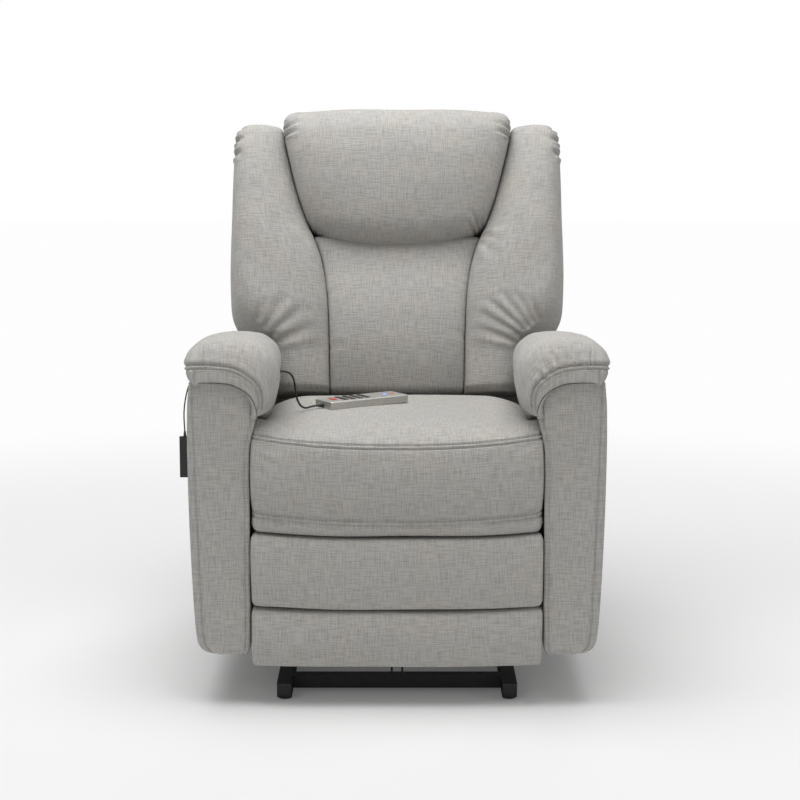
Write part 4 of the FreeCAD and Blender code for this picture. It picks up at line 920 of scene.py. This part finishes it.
def arm_facing(side, name):
    """The front panel of an arm: thin rounded rings from the foot to the band, with a sewn seam
    inside each long edge."""
    ux, uy = soft_ring((3.2, 3.2, 3.2, 3.2), 5.0, 201)
    z = levels_between(FACING_LOW, FACING_HIGH, 120)
    outer = smooth((101, 104, 112, 124, 160, 260, 400, 500, 560, 612),
                   (346, 355, 366, 372, 376, 381, 385, 386, 385, 381), z)
    inner = smooth((101, 105, 114, 130, 480, 515, 550, 575, 612),
                   (284, 277.5, 274.5, 273.4, 271.5, 266, 259, 259, 267), z)
    pull = rounding(z - FACING_LOW, 10.0)
    half = (outer - inner) / 2
    x = ((outer + inner) / 2)[:, None] + half[:, None] * ux[None]
    reach = (FACING_REAR - FACING_FRONT) / 2
    y = (FACING_FRONT + FACING_REAR) / 2 - (reach - pull * 0.6)[:, None] * uy[None]
    grid = spread(x, y, z[:, None])
    out = normals(grid, True)
    facing = np.clip(uy, 0, 1)[None]
    inset = smooth((101, 200, 330, 480, 612), (13, 15, 15.5, 13, 8), z)[:, None]
    seam_out = outer[:, None] - inset - x
    seam_in = x - inner[:, None] - 7.0
    shift = facing * (groove(seam_out, 3.6, 1.8) + groove(seam_in, 3.2, 1.8) + groove(seam_out - 6, -1.0, 3.4)
                      + groove(seam_in + 7, -0.8, 4.0))
    shift += facing * 0.8 * np.sin(grid[..., 2] / 63.0) * np.sin(x / 21.0)
    grid = grid + out * shift[..., None]
    uv = np.stack([x, grid[..., 2]], axis=2) * MM + 0.31
    if side < 0:
        grid = flipped(grid)
    upholstered(name, closed(grid, uv), "chassis")


def from_line(x, z, line):
    """Distance of each place from a line of points and how far along the line its nearest point is."""
    apart = np.hypot(x[..., None] - line[:, 0], z[..., None] - line[:, 1])
    return apart.min(axis=-1), apart.argmin(axis=-1) / (len(line) - 1)


def arm_roll(side, name, node, gathers):
    """The padded top. Behind, the outline runs along the arm, sinking and drawing in to the rear,
    and its inner foot sinks to the seat.
    In front every point goes to the band's lower edge: its share s of the way falls from 1 to 0
    while its depth follows 1 - (1 - s^p)^(1/p). A sheet from the band's edge closes it below. The
    seam lies where the distance from that edge is the band's height."""
    count, face_rows, back_rows = 241, 76, 70
    outline = flowing(ROLL_OUTLINE, count)
    band = flowing(BAND_EDGE, count)
    share = np.sin(np.linspace(0, 1, face_rows) * math.pi / 2) ** 1.15
    depth = ROLL_FRONT + ROLL_NOSE * (1 - (1 - share ** 2.3) ** (1 / 2.3))
    depth[:4] += np.array([8.0, 4.0, 1.6, 0.4])
    behind = np.linspace(depth[-1], ROLL_REAR, back_rows + 1)[1:]
    y = np.concatenate([depth, behind])
    s = np.concatenate([share, np.ones(back_rows)])[:, None]
    flat_x = band[None, :, 0] + (outline[:, 0] - band[:, 0])[None] * s
    flat_z = band[None, :, 1] + (outline[:, 1] - band[:, 1])[None] * s
    drop = smooth((-440, -300, -150, 0, 60), (0, 1.5, 15, 35, 43), y)[:, None]
    draw = smooth((-440, -300, -150, 0, 60), (0, 3, 9.5, 18, 22), y)[:, None]
    end = rounding(ROLL_REAR - y, ROLL_END_RADIUS)[:, None]
    height = np.clip((flat_z - ROLL_LIP) / ROLL_HEIGHT, 0, 1)
    inside = np.clip((320.0 - flat_x) / 80.0, 0, 1)
    x = flat_x + draw * (inside - 0.4 * (1 - inside))
    z = flat_z - drop * height
    foot = np.clip((578.0 - flat_z) / 30.0, 0, 1) * inside.clip(0, 0.5) * 2
    z = z - ROLL_FOOT_SINK * foot * np.clip((y[:, None] + 385.0) / 140.0, 0, 1) * (1 - drop / 90.0)
    x = x + (ROLL_CORE_X - x) / ROLL_CORE_REACH * end
    z = z + (ROLL_CORE_Z - z) / ROLL_CORE_REACH * end * 0.8
    top = spread(x, y[:, None], z)
    out = normals(top, False)
    if (out * (top - np.array([318.0, -200.0, 600.0]))).sum() < 0:
        out = -out
    distance, along = from_line(flat_x, flat_z, band[::6])
    tall = smooth((0, 0.3, 0.5, 0.68, 0.82, 0.93, 1.0), (34, 33, 31, 26, 17, 8, 3), along)
    seam = distance - tall
    outer_side = np.clip((0.93 - along) / 0.05, 0, 1)
    shift = outer_side * (groove(seam, 3.4, 2.0) + groove(seam + BAND_SEAM_GAP, 2.4, 1.8)
                          + groove(seam + 3.7, -0.8, 2.0) + groove(seam - 7, -1.4, 5.0))
    front = np.clip((-366.0 - y) / 12.0, 0, 1)[:, None]
    shift += creases(x, z, gathers) * front
    across = np.sin(np.linspace(0, math.pi, count))[None]
    shift += 1.3 * np.sin(y[:, None] / 49.0 + 0.5) * np.sin(x / 33.0) * np.clip(s * 2 - 0.5, 0, 1) * across
    top = top + out * shift[..., None]
    share_across = np.linspace(0, 1, count)[None, :, None]
    under = spread(band[None, :, 0], y[:, None], band[None, :, 1])
    under = under + (top[:, :1] - under[:, :1]) * (1 - share_across) ** 6
    under = under + (top[:, -1:] - under[:, -1:]) * share_across ** 3
    under[0] = top[0]
    edge = np.linspace(0, 1, 7)[:, None, None]
    rear = top[-1][None] + (under[-1] - top[-1])[None] * edge
    patches = [(top, cloth_uv(top, 85)), (under, cloth_uv(under, 85)), (rear, cloth_uv(rear, 85))]
    if side < 0:
        patches = [(flipped(g), u) for g, u in patches]
    upholstered(name, patches, "chassis", node, 0.05)
    rows = []
    for offset in (4.0, -11.0):
        columns, steps = crossings((seam - offset).T[:, :face_rows + 4], range(34, int(count * 0.72)), True)
        rows.append(along_grid(top, out, steps, columns))
        lines, steps = crossings(seam[:, :70] - offset, range(len(y) - 6, face_rows - 2, -1), True)
        rows.append(along_grid(top, out, lines, steps))
    if side < 0:
        rows = [(flipped(line), flipped(up)) for line, up in rows]
    stitches = stitch_rows(name.replace("dressed", "stitching"), rows, finish("thread"), "chassis")


# Cords

HANDSET_CORD = ((-221.7, -270, 612), (-210.5, -270, 612), (-201.5, -268, 606), (-196.5, -264, 595),
                (-194.5, -258, 577), (-192.5, -249, 557), (-187, -239, 541), (-177.5, -227, 533.2),
                (-164.6, -214.5, 535.95), (-153.81, -207.21, 535.95))
TAG_CORD = ((-380, -330, 601), (-388, -330, 598), (-393, -329.6, 587), (-397, -329, 570), (-400, -329.6, 551),
            (-400.8, -330.6, 530), (-399.4, -330, 507))


def cord(name, points, diameter, body, node, **facts):
    """A round cord on one smooth line that the route's points control."""
    data = bpy.data.curves.new(name, "CURVE")
    data.dimensions = "3D"
    data.bevel_depth = diameter / 2
    data.bevel_resolution = 4
    data.resolution_u = 10
    data.use_fill_caps = True
    line = data.splines.new("NURBS")
    line.points.add(len(points) - 1)
    for point, place in zip(line.points, points):
        point.co = (place[0] * MM, place[1] * MM, place[2] * MM, 1.0)
    line.order_u = 3
    line.use_endpoint_u = True
    data.materials.append(finish("rubber"))
    obj = bpy.data.objects.new(name, data)
    bpy.context.scene.collection.objects.link(obj)
    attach(obj, body)
    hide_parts(node)


# Steel, timber and plastic pieces, which keep their solids and take a finish

CARRIED = {
    "black_steel": ("base_side_rails", "base_cross_tubes", "base_pivot_brackets", "lift_frame", "guide_links",
                    "chassis_cross_tubes", "chassis_side_plates", "back_hinge_brackets",
                    "footrest_drive_shaft", "footrest_rear_links", "footrest_front_links",
                    "footrest_brackets"),
    "zinc": ("base_pivot_pins", "chassis_pivot_pins", "seat_springs"),
    "rod_steel": ("lift_actuator_rod", "back_actuator_rod", "footrest_actuator_rod"),
    "grey_plastic": ("lift_actuator_housing", "back_actuator_housing", "footrest_actuator_housing"),
    "dark_plastic": ("base_glides", "control_box", "power_inlet", "cable_grommet"),
    "timber": ("arm_frames", "back_frame", "footrest_board"),
    "lining": ("rear_panel",),
    "aluminium": ("handset_top_shell", "handset_back_shell"),
    "key_plastic": tuple("handset_button_%d" % (k + 1) for k in range(8)),
    "red_key": ("handset_stop_button",),
    "lenses": ("handset_indicator_lenses",),
    "rubber": ("handset_strain_relief", "tag_ferrule"),
    "tag": ("hang_tag",),
}


def dress_solids():
    """Gives each solid the finish that it is listed under."""
    for key, names in CARRIED.items():
        for name in names:
            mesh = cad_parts[name].data
            mesh.materials.clear()
            mesh.materials.append(finish(key))


CAP_DEPTH = np.array([-14.0, -2.0, 0.2, 0.4, 2.0, 3.0, 3.4])
CAP_INSET = np.array([2.6, 2.6, 2.6, 0.3, 0.3, 1.2, 3.0])


def rail_caps():
    """Push-in caps at the ends of the base rails: rounded square rings that taper into the tube."""
    low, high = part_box("base_side_rails")
    size = (high.z - low.z) / MM
    ux, uy = soft_ring((9, 9, 9, 9), 1.0, 81)
    patches = []
    for side in (-1, 1):
        for end, outward in ((low.y, -1), (high.y, 1)):
            reach = (size / 2 - CAP_INSET)[:, None]
            x = side * (high.x / MM - size / 2) + reach * ux[None]
            z = (high.z + low.z) / 2 / MM + reach * uy[None]
            y = end / MM + outward * CAP_DEPTH[:, None]
            patches += closed(spread(x, y, z), np.stack([x, z], axis=2) * MM)
    mesh_piece("base_rail_caps", patches, finish("dark_plastic"), "base")


# Stage

FLOOR_HALF = 14.0
CAMERA_SHIFT = 0.00375
LAMPS = (
    ("overhead_softbox", (-0.3, -0.5, 3.4), (0, 0.1, 0.5), (3.0, 2.6), 108),
    ("front_softbox", (-1.8, -4.2, 2.4), (0, 0, 0.6), (2.4, 2.4), 22),
    ("side_softbox", (3.2, -1.6, 1.9), (0, 0, 0.6), (2.0, 2.4), 12),
    ("rear_softbox", (0.6, 3.2, 2.8), (0, 0, 0.7), (2.6, 1.6), 30))


def emptied(holder):
    """The node tree of a world or material, with its nodes cleared."""
    holder.use_nodes = True
    holder.node_tree.nodes.clear()
    return holder.node_tree


def white_world(scene):
    """A studio that looks white, straight or through a shine, and gives only a little light."""
    world = bpy.data.worlds.new("studio")
    scene.world = world
    tree = emptied(world)
    path = add(tree, "LightPath")
    seen = calculate(tree, "MAXIMUM", path.outputs["Is Camera Ray"], path.outputs["Is Glossy Ray"])
    seen = calculate(tree, "MAXIMUM", seen, path.outputs["Is Transmission Ray"])
    dim = add(tree, "Background", {"Color": (1, 1, 1, 1), "Strength": 0.22})
    white = add(tree, "Background", {"Color": (1, 1, 1, 1), "Strength": 1.0})
    both = add(tree, "MixShader", {0: seen, 1: dim.outputs[0], 2: white.outputs[0]})
    add(tree, "OutputWorld", {0: both.outputs[0]})


def pale_floor(scene):
    """A matt floor that takes the chair's shadow and fades into white with distance from it."""
    mesh = bpy.data.meshes.new("studio_floor")
    corners = [(x * FLOOR_HALF, y * FLOOR_HALF, 0) for x, y in ((-1, -1), (1, -1), (1, 1), (-1, 1))]
    mesh.from_pydata(corners, [], [(0, 1, 2, 3)])
    floor = bpy.data.objects.new("studio_floor", mesh)
    scene.collection.objects.link(floor)
    material = bpy.data.materials.new("studio_floor")
    tree = emptied(material)
    path = add(tree, "LightPath")
    place = add(tree, "TexCoord").outputs["Object"]
    reach = add(tree, "VectorMath", {0: place}, operation="LENGTH").outputs["Value"]
    ends = {"Value": reach, "From Min": 0.5, "From Max": 3.0, "To Min": 0.08, "To Max": 1.0}
    far = add(tree, "MapRange", ends, interpolation_type="SMOOTHSTEP").outputs[0]
    matt = add(tree, "BsdfDiffuse", {"Color": (0.84, 0.84, 0.84, 1)})
    glow = add(tree, "Emission", {"Color": (0.985, 0.985, 0.985, 1), "Strength": 1.0})
    share = calculate(tree, "MULTIPLY", path.outputs["Is Camera Ray"], far)
    mixed = add(tree, "MixShader", {0: share, 1: matt.outputs[0], 2: glow.outputs[0]})
    add(tree, "OutputMaterial", {0: mixed.outputs[0]})
    mesh.materials.append(material)


def lamp(scene, name, place, aim, size, power):
    """A soft rectangular light turned towards a place."""
    light = bpy.data.lights.new(name, "AREA")
    light.shape = "RECTANGLE"
    light.size, light.size_y = size
    light.energy = power
    obj = bpy.data.objects.new(name, light)
    scene.collection.objects.link(obj)
    obj.location = place
    obj.rotation_euler = (Vector(aim) - Vector(place)).to_track_quat("-Z", "Y").to_euler()


def photo_camera(scene):
    """The camera that sees the chair as the photograph does."""
    view = bpy.data.cameras.new("photo_camera")
    view.sensor_width = 36.0
    view.lens = settings().camera_lens
    view.shift_x = CAMERA_SHIFT
    camera = bpy.data.objects.new("photo_camera", view)
    scene.collection.objects.link(camera)
    camera.location = settings().camera_place
    camera.rotation_euler = (math.radians(90.0) - settings().camera_pitch, 0, 0)
    scene.camera = camera


def stage():
    """Everything around the chair."""
    scene = bpy.context.scene
    scene.view_settings.view_transform = "Standard"
    white_world(scene)
    pale_floor(scene)
    for facts in LAMPS:
        lamp(scene, *facts)
    photo_camera(scene)


# Add-on

class ReclinerSettings(bpy.types.PropertyGroup):
    cloth_colour: FloatVectorProperty(name="Cloth colour", description="Mean colour of the woven cloth",
                                      default=(0.452, 0.441, 0.42), size=3, subtype="COLOR", min=0.0, max=1.0)
    slub_contrast: FloatProperty(name="Slub contrast", description="How much darker the thin threads are",
                                 default=0.2, min=0.0, max=1.0, subtype="FACTOR")
    weave_pitch: FloatProperty(name="Weave pitch", description="Distance over two threads of the weave",
                               default=0.0024, min=0.0005, max=0.01, unit="LENGTH")
    base_colour: FloatVectorProperty(name="Base colour", description="Powder coat of the steel base",
                                     default=(0.006, 0.006, 0.0065), size=3, subtype="COLOR",
                                     min=0.0, max=1.0)
    handset_colour: FloatVectorProperty(name="Handset colour", description="Shell of the handset",
                                        default=(0.5, 0.49, 0.46), size=3, subtype="COLOR", min=0.0, max=1.0)
    camera_place: FloatVectorProperty(name="Camera place", description="Where the camera stands",
                                      default=(0.0, -3.955, 1.127), size=3, subtype="TRANSLATION",
                                      unit="LENGTH")
    camera_pitch: FloatProperty(name="Camera pitch", description="How far the camera looks down",
                                default=math.radians(8.8), subtype="ANGLE")
    camera_lens: FloatProperty(name="Camera lens", description="Focal length of the camera in millimetres",
                               default=87.9, min=20.0, max=200.0)


class RECLINER_OT_stage(bpy.types.Operator):
    """Floor, soft lights and the camera of the photograph"""
    bl_idname = "recliner.stage"
    bl_label = "Stage and camera"

    def execute(self, context):
        stage()
        return {"FINISHED"}


class RECLINER_OT_cords(bpy.types.Operator):
    """The handset's cable and the cord of the hanging tag"""
    bl_idname = "recliner.cords"
    bl_label = "Cords"

    def execute(self, context):
        cord("handset_cable", HANDSET_CORD, 0.004, "chassis", "handset_cord", length=0.142, far_end="object",
             stiffness="medium", lay="loose", with_pieces=[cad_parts["handset_strain_relief"]])
        cord("hang_tag_cord", TAG_CORD, 0.0026, "chassis", "tag_cord", length=0.101, far_end="fitting",
             stiffness="medium", lay="hanging",
             with_pieces=[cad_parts["tag_ferrule"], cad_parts["hang_tag"]])
        return {"FINISHED"}


class RECLINER_OT_back(bpy.types.Operator):
    """Pillow, lumbar cushion, wings, rear cover and straps of the backrest"""
    bl_idname = "recliner.back"
    bl_label = "Backrest"

    def execute(self, context):
        head_pillow()
        lumbar_cushion()
        wing(1, "wing_right_dressed", "wing_right", RIGHT_FOLDS, deeper=1.0)
        wing(-1, "wing_left_dressed", "wing_left", LEFT_FOLDS, deeper=0.7)
        back_cover()
        back_straps()
        pull_through()
        return {"FINISHED"}


class RECLINER_OT_seat(bpy.types.Operator):
    """Seat cushion with its sewn seams"""
    bl_idname = "recliner.seat"
    bl_label = "Seat"

    def execute(self, context):
        seat()
        return {"FINISHED"}


class RECLINER_OT_footrest(bpy.types.Operator):
    """The two pads of the footrest"""
    bl_idname = "recliner.footrest"
    bl_label = "Footrest pads"

    def execute(self, context):
        footrest_pad("footrest_upper_pad_dressed", "footrest_upper_pad", low=192.5, high=330.0,
                     lines=UPPER_PAD_FOLDS, low_sag=6.0, high_sag=8.0)
        footrest_pad("footrest_lower_pad_dressed", "footrest_lower_pad", low=78.0, high=190.5,
                     lines=LOWER_PAD_FOLDS, low_sag=1.5, high_sag=6.0)
        return {"FINISHED"}


class RECLINER_OT_arms(bpy.types.Operator):
    """Arm covers, their front panels and the padded rolls"""
    bl_idname = "recliner.arms"
    bl_label = "Arms"

    def execute(self, context):
        for side, word, lines in ((1, "right", FRONT_GATHERS), (-1, "left", EDGE_TUCKS)):
            arm_cover(side, "arm_cover_%s_dressed" % word, "arm_cover_%s" % word)
            arm_facing(side, "arm_facing_%s" % word)
            arm_roll(side, "arm_roll_%s_dressed" % word, "arm_roll_%s" % word, lines)
        return {"FINISHED"}


class RECLINER_OT_solids(bpy.types.Operator):
    """Finishes of the steel, timber and plastic pieces"""
    bl_idname = "recliner.solids"
    bl_label = "Frame, drives and handset"

    def execute(self, context):
        dress_solids()
        rail_caps()
        return {"FINISHED"}


class RECLINER_PT_panel(bpy.types.Panel):
    """Sizes, colours and pieces of the chair"""
    bl_idname = "RECLINER_PT_panel"
    bl_label = "Lift recliner chair"
    bl_space_type = "VIEW_3D"
    bl_region_type = "UI"
    bl_category = "Chair"

    def draw(self, context):
        layout = self.layout
        for key in ReclinerSettings.__annotations__:
            layout.prop(context.scene.recliner, key)
        for step in STEPS:
            layout.operator(step.bl_idname)


STEPS = (RECLINER_OT_stage, RECLINER_OT_cords, RECLINER_OT_back, RECLINER_OT_seat, RECLINER_OT_footrest,
         RECLINER_OT_arms, RECLINER_OT_solids)
CLASSES = (ReclinerSettings,) + STEPS + (RECLINER_PT_panel,)


def register():
    """Makes the classes and the scene's settings known."""
    for item in CLASSES:
        bpy.utils.register_class(item)
    bpy.types.Scene.recliner = PointerProperty(type=ReclinerSettings)


def unregister():
    """Takes them away again, in the opposite order."""
    del bpy.types.Scene.recliner
    for item in reversed(CLASSES):
        bpy.utils.unregister_class(item)


def main():
    """Builds the whole scene."""
    register()
    bpy.ops.recliner.stage()
    bpy.ops.recliner.cords()
    bpy.ops.recliner.back()
    bpy.ops.recliner.seat()
    bpy.ops.recliner.footrest()
    bpy.ops.recliner.arms()
    bpy.ops.recliner.solids()


if __name__ == "__main__":
    main()
